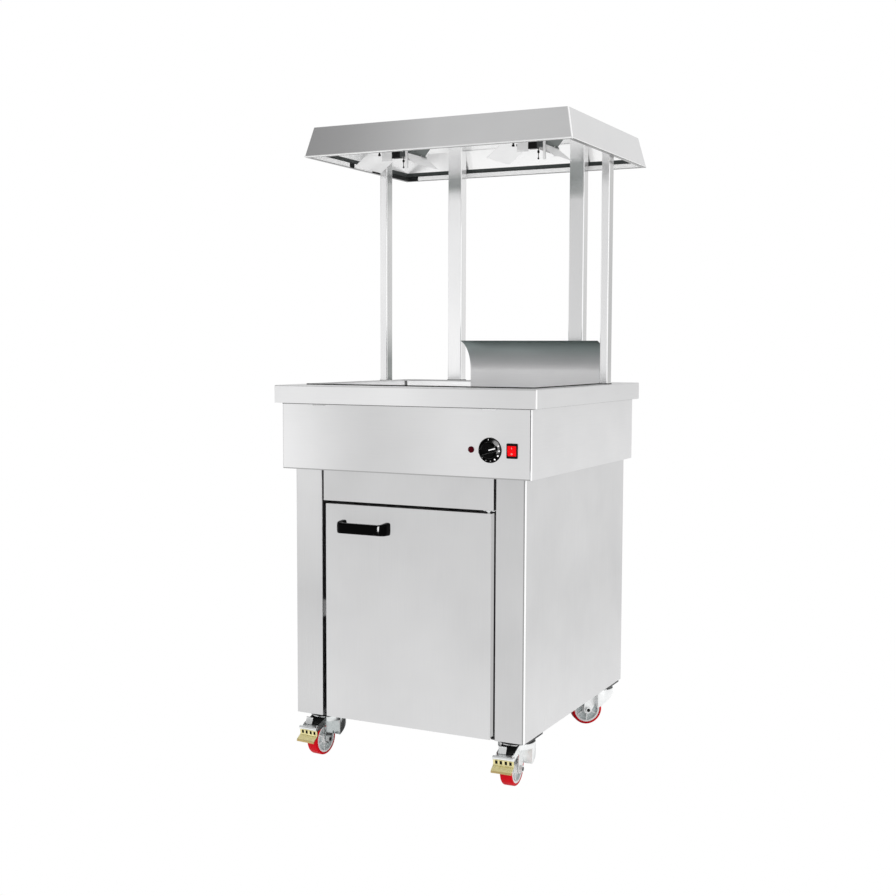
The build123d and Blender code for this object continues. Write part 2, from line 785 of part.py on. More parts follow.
pocket_width = switch_body_width - 2 * switch_side_wall
pocket_height = switch_body_height - 2 * switch_wall
rocker_pivot_y = housing_front + rocker_pivot_depth
with BuildPart() as switch_frame:
    with BuildSketch(facing_front(housing_front)):
        with Locations((switch_x, panel_z)):
            RectangleRounded(switch_bezel_width, switch_bezel_height, switch_bezel_corner)
    extrude(amount=switch_bezel)
    with BuildSketch(facing_front(housing_front)):
        with Locations((switch_x, panel_z)):
            Rectangle(switch_body_width, switch_body_height)
    extrude(amount=-switch_body_depth)
    with BuildSketch(facing_front(housing_front - switch_bezel)):
        with Locations((switch_x, panel_z)):
            Rectangle(pocket_width, pocket_height)
    extrude(amount=-(switch_bezel + switch_body_depth - switch_wall), mode=Mode.SUBTRACT)
    with BuildSketch(Plane.YZ.offset(switch_x)):
        with Locations((rocker_pivot_y, panel_z)):
            Circle(rocker_pin_radius + running_fit)
    extrude(amount=switch_body_width / 2, both=True, mode=Mode.SUBTRACT)
hand_over(switch_frame, "switch_frame")

rocker_half = pocket_height / 2 - 2 * rocker_gap
rocker_slope = rocker_half * sin(radians(rocker_tilt))
with BuildPart() as switch_rocker:
    with BuildSketch(Plane.YZ.offset(switch_x)):
        with BuildLine():
            Polyline(
                (rocker_pivot_y - rocker_rise, panel_z + rocker_half),
                (rocker_pivot_y - rocker_rise - rocker_slope / 4, panel_z),
                (rocker_pivot_y - rocker_rise + rocker_slope, panel_z - rocker_half),
                (rocker_pivot_y + rocker_slope, panel_z - rocker_half / 2),
                (rocker_pivot_y + rocker_rise, panel_z),
                (rocker_pivot_y + rocker_slope, panel_z + rocker_half / 2),
                close=True)
        make_face()
    extrude(amount=pocket_width / 2 - rocker_gap, both=True)
    with BuildSketch(Plane.YZ.offset(switch_x)):
        with Locations((rocker_pivot_y, panel_z)):
            Circle(rocker_pin_radius)
    extrude(amount=(switch_body_width - small_gap) / 2, both=True)
hand_over(switch_rocker, "switch_rocker")

with BuildPart() as cable_gland:
    with BuildSketch(facing_front(body_back)):
        with Locations((gland_x, gland_z)):
            RegularPolygon(gland_nut_radius, 6)
    extrude(amount=-gland_nut)
    with BuildSketch(facing_front(body_back + gland_nut)):
        with Locations((gland_x, gland_z)):
            Circle(gland_collar_radius)
    extrude(amount=-(gland_reach - gland_nut), taper=gland_taper)
    with BuildSketch(facing_front(body_back)):
        with Locations((gland_x, gland_z)):
            Circle(gland_tail_radius)
    extrude(amount=sheet + gland_tail)
    with BuildSketch(facing_front(body_back + gland_reach)):
        with Locations((gland_x, gland_z)):
            Circle(gland_bore_radius)
    extrude(amount=gland_reach + sheet + gland_tail, mode=Mode.SUBTRACT)
hand_over(cable_gland, "cable_gland")

# Gantry: four hollow posts with end plates, bolted through the worktop and the hood.
# The back pair is mitred at the top to clear the sloping back wall of the hood.
for label, post_x, post_y, post_width, bolt_shifts in post_shapes:
    with BuildPart() as post:
        with BuildSketch(Plane.XY.offset(worktop_top)):
            with Locations((post_x, post_y)):
                RectangleRounded(post_width, post_depth, post_corner)
        extrude(amount=post_height)
        with BuildSketch(Plane.XY.offset(worktop_top + post_plate)):
            with Locations((post_x, post_y)):
                Rectangle(post_width - 2 * sheet, post_depth - 2 * sheet)
        extrude(amount=post_height - 2 * post_plate, mode=Mode.SUBTRACT)
        with BuildSketch(Plane.XY.offset(worktop_top)):
            with Locations(*[(post_x + shift, post_y) for shift in bolt_shifts]):
                Circle(post_bolt_radius + bolt_fit)
        extrude(amount=post_height, mode=Mode.SUBTRACT)
        with BuildSketch(Plane.YZ.offset(post_x)):
            with BuildLine():
                Polyline(
                    (hood_back - sheet - small_gap, hood_bottom),
                    (hood_back - sheet - small_gap - hood_slope, hood_under),
                    (hood_back, hood_under),
                    (hood_back, hood_bottom),
                    close=True)
            make_face()
        extrude(amount=post_width, both=True, mode=Mode.SUBTRACT)
    hand_over(post, label)

with BuildPart() as post_bolts:
    for head_level, head_side in ((worktop_under, -1), (hood_top, 1)):
        with BuildSketch(Plane.XY.offset(head_level)):
            with Locations(*post_bolt_places):
                Circle(post_bolt_head_radius)
        extrude(amount=head_side * post_bolt_head)
        with BuildSketch(Plane.XY.offset(head_level)):
            with Locations(*post_bolt_places):
                Circle(post_bolt_radius)
        extrude(amount=-head_side * post_bolt_reach)
hand_over(post_bolts, "post_bolts")

# Hood with a turned-in gutter round its lower edge
with BuildPart() as hood:
    with BuildSketch(Plane.XY.offset(hood_bottom)):
        with Locations((0, hood_middle)):
            Rectangle(hood_width, hood_depth)
    with BuildSketch(Plane.XY.offset(hood_top)):
        with Locations((0, hood_middle)):
            Rectangle(hood_width - 2 * hood_slope, hood_depth - 2 * hood_slope)
    loft()
    with BuildSketch(Plane.XY.offset(hood_bottom)):
        with Locations((0, hood_middle)):
            Rectangle(hood_width - 2 * sheet, hood_depth - 2 * sheet)
    with BuildSketch(Plane.XY.offset(hood_under)):
        with Locations((0, hood_middle)):
            Rectangle(hood_width - 2 * hood_slope - 2 * sheet, hood_depth - 2 * hood_slope - 2 * sheet)
    loft(mode=Mode.SUBTRACT)
    with BuildSketch(Plane.XY.offset(hood_bottom)):
        with Locations((0, hood_middle)):
            Rectangle(hood_width - sheet, hood_depth - sheet)
            Rectangle(hood_width - 2 * hood_gutter, hood_depth - 2 * hood_gutter, mode=Mode.SUBTRACT)
    extrude(amount=sheet)
    with BuildSketch(Plane.XY.offset(hood_bottom)):
        with Locations((0, hood_middle)):
            Rectangle(hood_width - 2 * (hood_gutter - sheet), hood_depth - 2 * (hood_gutter - sheet))
            Rectangle(hood_width - 2 * hood_gutter, hood_depth - 2 * hood_gutter, mode=Mode.SUBTRACT)
    extrude(amount=hood_lip)
    with BuildSketch(Plane.XY.offset(hood_under)):
        with Locations(*post_bolt_places):
            Circle(post_bolt_radius + bolt_fit)
    extrude(amount=sheet, mode=Mode.SUBTRACT)
hand_over(hood, "hood")

# Heat lamps: reflector trough, folded hanger, ceramic holder with its terminal block, and quartz tube
wing_run = lamp_half_width - lamp_flat_half
wing_thickness = reflector_sheet * hypot(1, lamp_wing_rise / wing_run)
roof_half = lamp_flat_half + (wing_thickness - reflector_sheet) * wing_run / lamp_wing_rise
for lamp_x, label in zip(lamp_centres, ("left_reflector", "right_reflector")):
    with BuildPart() as reflector:
        with BuildSketch(facing_front(lamp_front)):
            with BuildLine():
                Polyline(
                    (lamp_x - lamp_half_width, lamp_low),
                    (lamp_x - lamp_flat_half, lamp_flat),
                    (lamp_x + lamp_flat_half, lamp_flat),
                    (lamp_x + lamp_half_width, lamp_low),
                    (lamp_x + lamp_half_width, lamp_low + wing_thickness),
                    (lamp_x + roof_half, lamp_roof),
                    (lamp_x - roof_half, lamp_roof),
                    (lamp_x - lamp_half_width, lamp_low + wing_thickness),
                    close=True)
            make_face()
        extrude(amount=-lamp_length)
    hand_over(reflector, label)

hanger_front = lamp_front - hanger_overhang
clip_back = lamp_back + tube_clip_overhang
holder_left = holder_shift - holder_width / 2
holder_right = holder_shift + holder_width / 2
holder_z = lamp_roof - holder_drop - holder_height / 2
leg_left_edge = holder_left - hanger_leg_left
leg_right_edge = holder_right + terminal_width + hanger_leg_right
mount_rise = hood_under - lamp_hanger - lamp_roof
mount_lean = mount_spread / mount_rise
mount_slant = lamp_hanger * hypot(1, mount_lean)
mount_half = [
    (lamp_flat_half, lamp_roof),
    (lamp_flat_half + mount_spread, hood_under - lamp_hanger),
    (lamp_flat_half + mount_spread + mount_flange, hood_under - lamp_hanger),
    (lamp_flat_half + mount_spread + mount_flange, hood_under),
    (lamp_flat_half - mount_slant + mount_lean * (mount_rise + lamp_hanger), hood_under),
    (lamp_flat_half - mount_slant + mount_lean * lamp_hanger, lamp_roof + lamp_hanger),
]
with BuildPart() as lamp_hangers:
    for lamp_x in lamp_centres:
        right_half = [(lamp_x + x, z) for x, z in mount_half]
        left_half = [(lamp_x - x, z) for x, z in reversed(mount_half)]
        with BuildSketch(facing_front(lamp_front)):
            with BuildLine():
                Polyline(*right_half, *left_half, close=True)
            make_face()
        extrude(amount=-lamp_length)
        with BuildSketch(Plane.XY.offset(lamp_roof)):
            with Locations((lamp_x + (leg_left_edge + leg_right_edge) / 2, hanger_front + hanger_tongue / 2)):
                Rectangle(leg_right_edge - leg_left_edge, hanger_tongue)
            with Locations((lamp_x + holder_shift, clip_back - hanger_tongue / 2)):
                Rectangle(tube_clip, hanger_tongue)
        extrude(amount=lamp_hanger)
        with BuildSketch(facing_front(hanger_front)):
            with Locations((lamp_x + holder_left - hanger_leg_left / 2, lamp_roof - hanger_leg_drop / 2)):
                Rectangle(hanger_leg_left, hanger_leg_drop)
            with Locations((lamp_x + leg_right_edge - hanger_leg_right / 2, lamp_roof - hanger_long_drop / 2)):
                Rectangle(hanger_leg_right, hanger_long_drop)
        extrude(amount=-lamp_hanger)
        clip_bottom = holder_z - tube_clip / 2
        with BuildSketch(facing_front(clip_back)):
            with Locations((lamp_x + holder_shift, (lamp_roof + clip_bottom) / 2)):
                Rectangle(tube_clip, lamp_roof - clip_bottom)
            with Locations((lamp_x + holder_shift, holder_z)):
                Circle(tube_radius + running_fit, mode=Mode.SUBTRACT)
        extrude(amount=lamp_hanger)
hand_over(lamp_hangers, "lamp_hangers")

with BuildPart() as lamp_holders:
    for lamp_x in lamp_centres:
        with BuildSketch(facing_front(hanger_front)):
            with Locations((lamp_x + holder_shift, holder_z)):
                Rectangle(holder_width, holder_height)
        extrude(amount=-holder_depth)
        with BuildSketch(facing_front(hanger_front)):
            with Locations((lamp_x + holder_right + terminal_width / 2, holder_z)):
                Rectangle(terminal_width, terminal_height)
        extrude(amount=-terminal_depth)
        with BuildSketch(facing_front(hanger_front + holder_depth - tube_seat)):
            with Locations((lamp_x + holder_shift, holder_z)):
                Circle(tube_radius + running_fit)
        extrude(amount=-tube_seat, mode=Mode.SUBTRACT)
hand_over(lamp_holders, "lamp_holders")

with BuildPart() as lamp_tubes:
    tube_start = hanger_front + holder_depth - tube_seat
    for lamp_x in lamp_centres:
        with BuildSketch(facing_front(tube_start)):
            with Locations((lamp_x + holder_shift, holder_z)):
                Circle(tube_radius)
        extrude(amount=tube_start - clip_back)
hand_over(lamp_tubes, "lamp_tubes")

# Castor plates with their raceways, and the bolts through the cupboard floor
with BuildPart() as caster_plates:
    with BuildSketch(Plane.XY.offset(caster_height - caster_plate)):
        with Locations(*caster_centres.values()):
            RectangleRounded(caster_plate_width, caster_plate_depth, caster_plate_corner)
    extrude(amount=caster_plate)
    with BuildSketch(Plane.XY.offset(race_bottom)):
        with Locations(*caster_centres.values()):
            Circle(race_radius)
    extrude(amount=race_height)
    with BuildSketch(Plane.XY.offset(crown_bottom - small_gap)):
        with Locations(*caster_centres.values()):
            Circle(kingpin_radius)
    extrude(amount=race_bottom - crown_bottom + small_gap)
    with BuildSketch(Plane.XY.offset(crown_bottom - small_gap - kingpin_head)):
        with Locations(*caster_centres.values()):
            Circle(kingpin_head_radius)
    extrude(amount=kingpin_head)
    with BuildSketch(Plane.XY.offset(caster_height - caster_plate)):
        for centre in caster_centres.values():
            with Locations(centre):
                with GridLocations(caster_bolt_pitch_x, caster_bolt_pitch_y, 2, 2):
                    Circle(caster_bolt_radius + bolt_fit)
    extrude(amount=caster_plate, mode=Mode.SUBTRACT)
hand_over(caster_plates, "caster_plates")

with BuildPart() as caster_bolts:
    with BuildSketch(Plane.XY.offset(caster_height - caster_plate - caster_bolt_head)):
        for centre in caster_centres.values():
            with Locations(centre):
                with GridLocations(caster_bolt_pitch_x, caster_bolt_pitch_y, 2, 2):
                    RegularPolygon(caster_bolt_head_radius, 6)
    extrude(amount=caster_bolt_head)
    with BuildSketch(Plane.XY.offset(caster_height - caster_plate)):
        for centre in caster_centres.values():
            with Locations(centre):
                with GridLocations(caster_bolt_pitch_x, caster_bolt_pitch_y, 2, 2):
                    Circle(caster_bolt_radius)
    extrude(amount=caster_plate + floor_sheet + caster_bolt_reach)
hand_over(caster_bolts, "caster_bolts")

# Castors: swivelling fork, axle, hub and tread, and a brake pedal on the front pair
hub_radius = wheel_radius - tread_thickness
hub_width = wheel_width - 2 * hub_inset
hub_boss_half = leg_inner - hub_boss_gap
leg_back = cowl_front - fork_leg
pedal_pivot = (trail + pedal_pivot_forward, pedal_pivot_height)
for corner, centre in caster_centres.items():
    angle = radians(trail_angles[corner])
    braked = corner.startswith("front")
    level = Plane(origin=(centre[0], centre[1], 0), x_dir=(cos(angle), sin(angle), 0), z_dir=(0, 0, 1))
    flank = Plane(origin=(centre[0], centre[1], 0), x_dir=(cos(angle), sin(angle), 0),
                  z_dir=(sin(angle), -cos(angle), 0))

    with BuildPart() as fork:
        with BuildSketch(level.offset(cowl_bottom)):
            Circle(crown_radius)
            with Locations((cowl_front + crown_radius, 0)):
                Rectangle(2 * crown_radius, 2 * crown_radius, mode=Mode.SUBTRACT)
        extrude(amount=crown_bottom - cowl_bottom)
        with BuildSketch(level.offset(cowl_bottom)):
            Circle(crown_radius - fork_leg)
            with Locations((leg_back + crown_radius, 0)):
                Rectangle(2 * crown_radius, 2 * crown_radius, mode=Mode.SUBTRACT)
            with Locations((cowl_front / 2, 0)):
                Rectangle(cowl_front, 2 * leg_inner)
        extrude(amount=crown_bottom - cowl_bottom, mode=Mode.SUBTRACT)
        with BuildSketch(flank):
            with BuildLine():
                Polyline((cowl_front, cowl_bottom), (-crown_radius, crown_bottom), (-crown_radius, cowl_bottom),
                         close=True)
            make_face()
        extrude(amount=crown_radius, both=True, mode=Mode.SUBTRACT)
        with BuildSketch(level.offset(crown_bottom)):
            Circle(crown_radius)
        extrude(amount=crown_height)
        for side in (-1, 1):
            with BuildSketch(flank.offset(side * leg_inner)):
                with Locations(((leg_back + fork_leg_front) / 2, (fork_shoulder + crown_top) / 2)):
                    Rectangle(fork_leg_front - leg_back, crown_top - fork_shoulder)
                with Locations((trail, wheel_radius)):
                    Circle(fork_boss_radius)
                make_hull()
            extrude(amount=side * fork_leg)
            if braked:
                with BuildSketch(flank.offset(side * leg_inner)):
                    with Locations(((leg_back + fork_leg_front) / 2, (crown_bottom + crown_top) / 2)):
                        Rectangle(fork_leg_front - leg_back, crown_height)
                    with Locations(pedal_pivot):
                        Circle(pedal_pivot_boss)
                    make_hull()
                extrude(amount=side * fork_leg)
        with BuildSketch(level.offset(crown_bottom)):
            Circle(kingpin_radius + running_fit)
        extrude(amount=crown_height, mode=Mode.SUBTRACT)
        with BuildSketch(flank):
            with Locations((trail, wheel_radius)):
                Circle(axle_radius + running_fit)
            if braked:
                with Locations(pedal_pivot):
                    Circle(pedal_pin_radius + running_fit)
        extrude(amount=leg_outer, both=True, mode=Mode.SUBTRACT)
    hand_over(fork, f"{corner}_fork")

    with BuildPart() as axle:
        with BuildSketch(flank):
            with Locations((trail, wheel_radius)):
                Circle(axle_radius)
        extrude(amount=leg_outer, both=True)
        for side in (-1, 1):
            with BuildSketch(flank.offset(side * leg_outer)):
                with Locations((trail, wheel_radius)):
                    RegularPolygon(axle_head_radius, 6)
            extrude(amount=side * axle_head)
    hand_over(axle, f"{corner}_axle")

    with BuildPart() as hub:
        with BuildSketch(flank):
            with Locations((trail, wheel_radius)):
                Circle(hub_radius)
        extrude(amount=hub_width / 2, both=True)
        for side in (-1, 1):
            with BuildSketch(flank.offset(side * hub_width / 2)):
                with Locations((trail, wheel_radius)):
                    Circle(hub_radius - hub_rim)
            extrude(amount=-side * hub_recess, mode=Mode.SUBTRACT)
        with BuildSketch(flank):
            with Locations((trail, wheel_radius)):
                Circle(hub_boss_radius)
        extrude(amount=hub_boss_half, both=True)
        with BuildSketch(flank):
            with Locations((trail, wheel_radius)):
                Circle(axle_radius + running_fit)
        extrude(amount=hub_boss_half, both=True, mode=Mode.SUBTRACT)
    hand_over(hub, f"{corner}_hub")

    with BuildPart() as tread:
        with BuildSketch(flank):
            with Locations((trail, wheel_radius)):
                Circle(wheel_radius)
        extrude(amount=wheel_width / 2, both=True)
        fillet(tread.edges().filter_by(GeomType.CIRCLE), tread_round)
        with BuildSketch(flank):
            with Locations((trail, wheel_radius)):
                Circle(hub_radius)
        extrude(amount=wheel_width / 2, both=True, mode=Mode.SUBTRACT)
    hand_over(tread, f"{corner}_tread")

    if braked:
        pedal_arm_half = leg_inner - hub_boss_gap
        with BuildPart() as pedal:
            with BuildSketch(flank):
                with Locations(pedal_pivot):
                    Circle(pedal_pin_radius)
            extrude(amount=leg_outer, both=True)
            with BuildSketch(flank):
                with Locations(pedal_pivot):
                    Circle(pedal_bar_radius)
            extrude(amount=pedal_arm_half, both=True)
            with BuildSketch(flank):
                with BuildLine():
                    Polyline(
                        pedal_pivot,
                        (trail + pedal_plate_top[0], pedal_plate_top[1]),
                        (trail + pedal_plate_top[0], pedal_plate_top[1] + pedal_top_rise),
                        (pedal_pivot[0], pedal_pivot[1] + pedal_bar_radius),
                        close=True)
                make_face()
            extrude(amount=pedal_arm_half, both=True)
            with BuildSketch(flank):
                with BuildLine():
                    Polyline(
                        (trail + pedal_plate_top[0] - pedal_lap, pedal_plate_top[1]),
                        (trail + pedal_plate_bend[0], pedal_plate_bend[1]),
                        (trail + pedal_plate_end[0], pedal_plate_end[1]),
                        (trail + pedal_plate_end[0] + pedal_thickness, pedal_plate_end[1] + pedal_end_rise),
                        (trail + pedal_plate_bend[0] + pedal_thickness, pedal_plate_bend[1] + pedal_bend_rise),
                        (trail + pedal_plate_top[0] + pedal_thickness, pedal_plate_top[1] + pedal_top_rise),
                        (trail + pedal_plate_top[0] - pedal_lap, pedal_plate_top[1] + pedal_top_rise),
                        close=True)
                make_face()
                with Locations((trail + pedal_roll[0], pedal_roll[1])):
                    Circle(pedal_roll_radius)
            extrude(amount=pedal_width / 2, both=True)
        hand_over(pedal, f"{corner}_pedal")
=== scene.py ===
import json
import math

import bmesh
import bpy
from mathutils import Matrix, Vector


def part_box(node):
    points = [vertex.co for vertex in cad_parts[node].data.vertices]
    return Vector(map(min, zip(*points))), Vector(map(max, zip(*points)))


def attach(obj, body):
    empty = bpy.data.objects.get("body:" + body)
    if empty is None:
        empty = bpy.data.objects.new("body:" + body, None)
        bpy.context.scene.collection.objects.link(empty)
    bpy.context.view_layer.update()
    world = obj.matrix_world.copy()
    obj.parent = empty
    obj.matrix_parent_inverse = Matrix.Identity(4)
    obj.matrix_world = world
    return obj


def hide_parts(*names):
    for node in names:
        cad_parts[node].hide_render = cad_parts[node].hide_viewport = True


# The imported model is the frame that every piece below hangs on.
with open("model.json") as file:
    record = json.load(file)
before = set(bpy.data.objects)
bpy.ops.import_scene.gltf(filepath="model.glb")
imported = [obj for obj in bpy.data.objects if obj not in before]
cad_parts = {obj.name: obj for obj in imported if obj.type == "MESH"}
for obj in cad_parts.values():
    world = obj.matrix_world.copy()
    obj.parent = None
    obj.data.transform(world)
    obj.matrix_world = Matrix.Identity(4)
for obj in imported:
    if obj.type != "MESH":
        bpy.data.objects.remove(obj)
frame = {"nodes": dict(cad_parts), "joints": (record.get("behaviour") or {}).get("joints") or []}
nodes = frame["nodes"]
joints = {joint["name"]: joint for joint in frame["joints"]}
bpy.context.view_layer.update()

# Castors: pressed zinc plated forks that swivel under bolted plates, on stock 80 mm wheels.
# Each wheel is a moulded pale hub, ribbed inside its rim, with a red polyurethane tread cast onto it.
# The front pair has a zinc release lever and a yellow passivated foot pedal on a pin through the fork.


def feed(node, values):
    """Gives a node's inputs their values: plain ones are set, and those of other nodes are linked."""
    for name, value in values.items():
        if isinstance(value, bpy.types.NodeSocket):
            node.id_data.links.new(value, node.inputs[name])
        else:
            node.inputs[name].default_value = value


def add_node(tree, kind, values=None, **settings):
    """A new shader node with its settings and the values of its inputs."""
    node = tree.nodes.new(f"ShaderNode{kind}")
    for name, setting in settings.items():
        setattr(node, name, setting)
    feed(node, values or {})
    return node


def colour(tone):
    """A shader's colour, from three shares or from one shade of grey."""
    return (*tone, 1) if isinstance(tone, tuple) else (tone, tone, tone, 1)


def shader_of(material):
    return material.node_tree.nodes["Principled BSDF"]


def start_finish(name):
    """A new finish, with its shader and the place on its piece in the piece's own coordinates."""
    material = bpy.data.materials.new(name)
    material.use_nodes = True
    return material, shader_of(material), add_node(material.node_tree, "TexCoord").outputs["Object"]


def noise(place, scale, detail=2, roughness=0.5):
    """Soft clouds of a scale, as values between 0 and 1."""
    values = {"Vector": place, "Scale": scale, "Detail": detail, "Roughness": roughness}
    return add_node(place.id_data, "TexNoise", values).outputs["Fac"]


def spread(value, low=0, high=1, first=0, last=1, blend="LINEAR"):
    """Draws a value out, so that from a low to a high mark it runs from a first level to a last one."""
    levels = {"Value": value, "From Min": low, "From Max": high, "To Min": first, "To Max": last}
    return add_node(value.id_data, "MapRange", levels, interpolation_type=blend).outputs["Result"]


def mix(kind, factor, under, over, blend="MIX"):
    """Two colours, vectors or values mixed by a factor. The one under is an output of a node."""
    values = {"Factor": factor, "A": under, "B": over}
    return add_node(under.id_data, "Mix", values, data_type=kind, blend_type=blend).outputs["Result"]


def pattern_group(name, entries):
    """An empty node group with named entries, which puts out a colour, a roughness and a height."""
    group = bpy.data.node_groups.new(name, "ShaderNodeTree")
    outlets = {"Color": "Color", "Roughness": "Float", "Height": "Float"}
    for way, sockets in (("INPUT", entries), ("OUTPUT", outlets)):
        for socket, kind in sockets.items():
            group.interface.new_socket(socket, in_out=way, socket_type=f"NodeSocket{kind}")
    return group, group.nodes.new("NodeGroupInput").outputs, group.nodes.new("NodeGroupOutput")


def uneven_tone_group():
    """Two tones mixed by soft clouds, with a matching spread of roughness and a height for bump."""
    entries = {"Place": "Vector", "Cloud Scale": "Float", "Speck Scale": "Float", "Light Tone": "Color",
               "Dark Tone": "Color", "Smooth": "Float", "Rough": "Float"}
    group, given, result = pattern_group("uneven_tone", entries)
    cloud = noise(given["Place"], given["Cloud Scale"], detail=3)
    speck = noise(given["Place"], given["Speck Scale"])
    tone = mix("RGBA", cloud, given["Dark Tone"], given["Light Tone"])
    roughness = spread(speck, 0.3, 0.7, given["Smooth"], given["Rough"])
    feed(result, {"Color": tone, "Roughness": roughness, "Height": speck})
    return group


def patterned_finish(name, group, values, bump, metallic, specular=0.5):
    """A finish that takes its colour, its roughness and a fine relief from a node group."""
    material, shader, place = start_finish(name)
    tree = material.node_tree
    pattern = add_node(tree, "Group", {"Place": place, **values}, node_tree=group).outputs
    relief = add_node(tree, "Bump", {"Strength": bump, "Distance": 0.0002, "Height": pattern["Height"]})
    feed(shader, {"Base Color": pattern["Color"], "Roughness": pattern["Roughness"], "Metallic": metallic,
                  "Specular IOR Level": specular, "Normal": relief.outputs["Normal"]})
    return material


uneven_tone = uneven_tone_group()


def uneven_finish(name, light, dark, smooth, rough, cloud=40, speck=900, metallic=0.0, specular=0.5):
    values = {"Cloud Scale": cloud, "Speck Scale": speck, "Light Tone": colour(light),
              "Dark Tone": colour(dark), "Smooth": smooth, "Rough": rough}
    return patterned_finish(name, uneven_tone, values, 0.02, metallic, specular)


def place_on(material):
    """The place on a finish, in its piece's own coordinates."""
    return next(n for n in material.node_tree.nodes if n.type == "TEX_COORD").outputs["Object"]


def share_of(vector, axis):
    """A vector's share along an axis."""
    return add_node(vector.id_data, "SeparateXYZ", {0: vector}).outputs[axis]


def along(material, axis):
    """A finish's place along an axis."""
    return share_of(place_on(material), axis)


def reckon(operation, *terms):
    """One step of arithmetic. The first term is a value of a finish, the others values or numbers."""
    return add_node(terms[0].id_data, "Math", dict(enumerate(terms)), operation=operation).outputs[0]


def all_of(mask, *others):
    """A mask that is set only where every one of some masks is set."""
    for other in others:
        mask = reckon("MULTIPLY", mask, other)
    return mask


def region(material, **spans):
    """A mask that is set between two places on each axis that is named. None leaves an end open."""
    tests = []
    for axis, (low, high) in spans.items():
        if low is not None:
            tests.append(reckon("GREATER_THAN", along(material, axis), low))
        if high is not None:
            tests.append(reckon("LESS_THAN", along(material, axis), high))
    return all_of(*tests)


def lay_over(material, kind, entry, mask, level, blend="MIX"):
    """Mixes a level into one input of a finish wherever a mask is set."""
    shader = shader_of(material)
    under = shader.inputs[entry].links[0].from_socket
    feed(shader, {entry: mix(kind, mask, under, level, blend)})


def overlay(material, mask, tone):
    """Gives a finish another tone wherever a mask is set."""
    lay_over(material, "RGBA", "Base Color", mask, colour(tone))


def soften(piece, width):
    round_over = piece.modifiers.new("eased", "BEVEL")
    round_over.width = width
    round_over.segments = 2
    round_over.profile = 0.5
    round_over.limit_method = "ANGLE"
    round_over.angle_limit = math.radians(32)
    round_over.use_clamp_overlap = True


same_place = 0.00001


def dress(node_name, finish, ease=None):
    """Gives a solid its finish, and eases its sharp edges as folding and deburring leave them."""
    node = nodes[node_name]
    node.data.materials.clear()
    node.data.materials.append(finish)
    if ease is not None:
        node.modifiers.new("closed", "WELD").merge_threshold = same_place
        soften(node, ease)


def finish_piece(work, name, finish, body, smooth=None, ease=None):
    """Turns a finished bmesh into a piece that rides on a body and takes a slot's finish."""
    mesh = bpy.data.meshes.new(name)
    bmesh.ops.recalc_face_normals(work, faces=work.faces)
    work.to_mesh(mesh)
    work.free()
    mesh.materials.append(finish)
    piece = bpy.data.objects.new(name, mesh)
    bpy.context.scene.collection.objects.link(piece)
    if smooth is not None:
        mesh.shade_smooth()
        mesh.set_sharp_from_angle(angle=math.radians(smooth))
    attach(piece, body)
    if ease is not None:
        soften(piece, ease)
    return piece


def turned(outline, centre, axis, across, steps):
    """A closed outline of (along the axis, from the axis) pairs turned a full turn on the axis."""
    work = bmesh.new()
    corners = [work.verts.new(centre + axis * a + across * r) for a, r in outline]
    edges = [work.edges.new(pair) for pair in zip(corners, corners[1:] + corners[:1])]
    bmesh.ops.spin(work, geom=corners + edges, cent=centre, axis=axis, angle=math.tau, steps=steps,
                   use_merge=True)
    bmesh.ops.remove_doubles(work, verts=work.verts, dist=same_place)
    bmesh.ops.delete(work, geom=[e for e in work.edges if not e.link_faces], context="EDGES")
    return work


def rings_at(work, centre, axis, radius):
    """The edges that run round the axis at a radius."""
    found = []
    for edge in work.edges:
        arms = [v.co - centre for v in edge.verts]
        depths = [arm.dot(axis) for arm in arms]
        reaches = [(arm - axis * depth).length for arm, depth in zip(arms, depths)]
        level = abs(depths[0] - depths[1]) < same_place
        if level and all(abs(reach - radius) < same_place for reach in reaches):
            found.append(edge)
    return found


def round_off(work, edges, width, segments):
    bmesh.ops.bevel(work, geom=edges, offset=width, offset_type="OFFSET", affect="EDGES", segments=segments,
                    profile=0.5, material=-1)


def block(work, place, size):
    """A rectangular block that is added at a place. It gives back the block's corners."""
    return bmesh.ops.create_cube(work, size=1.0, matrix=place @ Matrix.Diagonal((*size, 1)))["verts"]


def draw_out(work, edges, shift):
    """Pulls a row of edges out into a strip of faces and gives back its new far edges."""
    made = bmesh.ops.extrude_edge_only(work, edges=edges)["geom"]
    fresh = [g for g in made if isinstance(g, bmesh.types.BMVert)]
    bmesh.ops.translate(work, verts=fresh, vec=shift)
    return [g for g in made if isinstance(g, bmesh.types.BMEdge) and all(v in fresh for v in g.verts)]


def bent_strip(work, rows, columns):
    """A strip of sheet that follows (forward, up) rows and is cut into columns across."""
    start = [work.verts.new((rows[0][0], across, rows[0][1])) for across in columns]
    edges = [work.edges.new(pair) for pair in zip(start, start[1:])]
    for before, after in zip(rows, rows[1:]):
        edges = draw_out(work, edges, (after[0] - before[0], 0, after[1] - before[1]))


def thicken(work, sheet):
    bmesh.ops.recalc_face_normals(work, faces=work.faces)
    bmesh.ops.solidify(work, geom=work.faces[:], thickness=sheet)


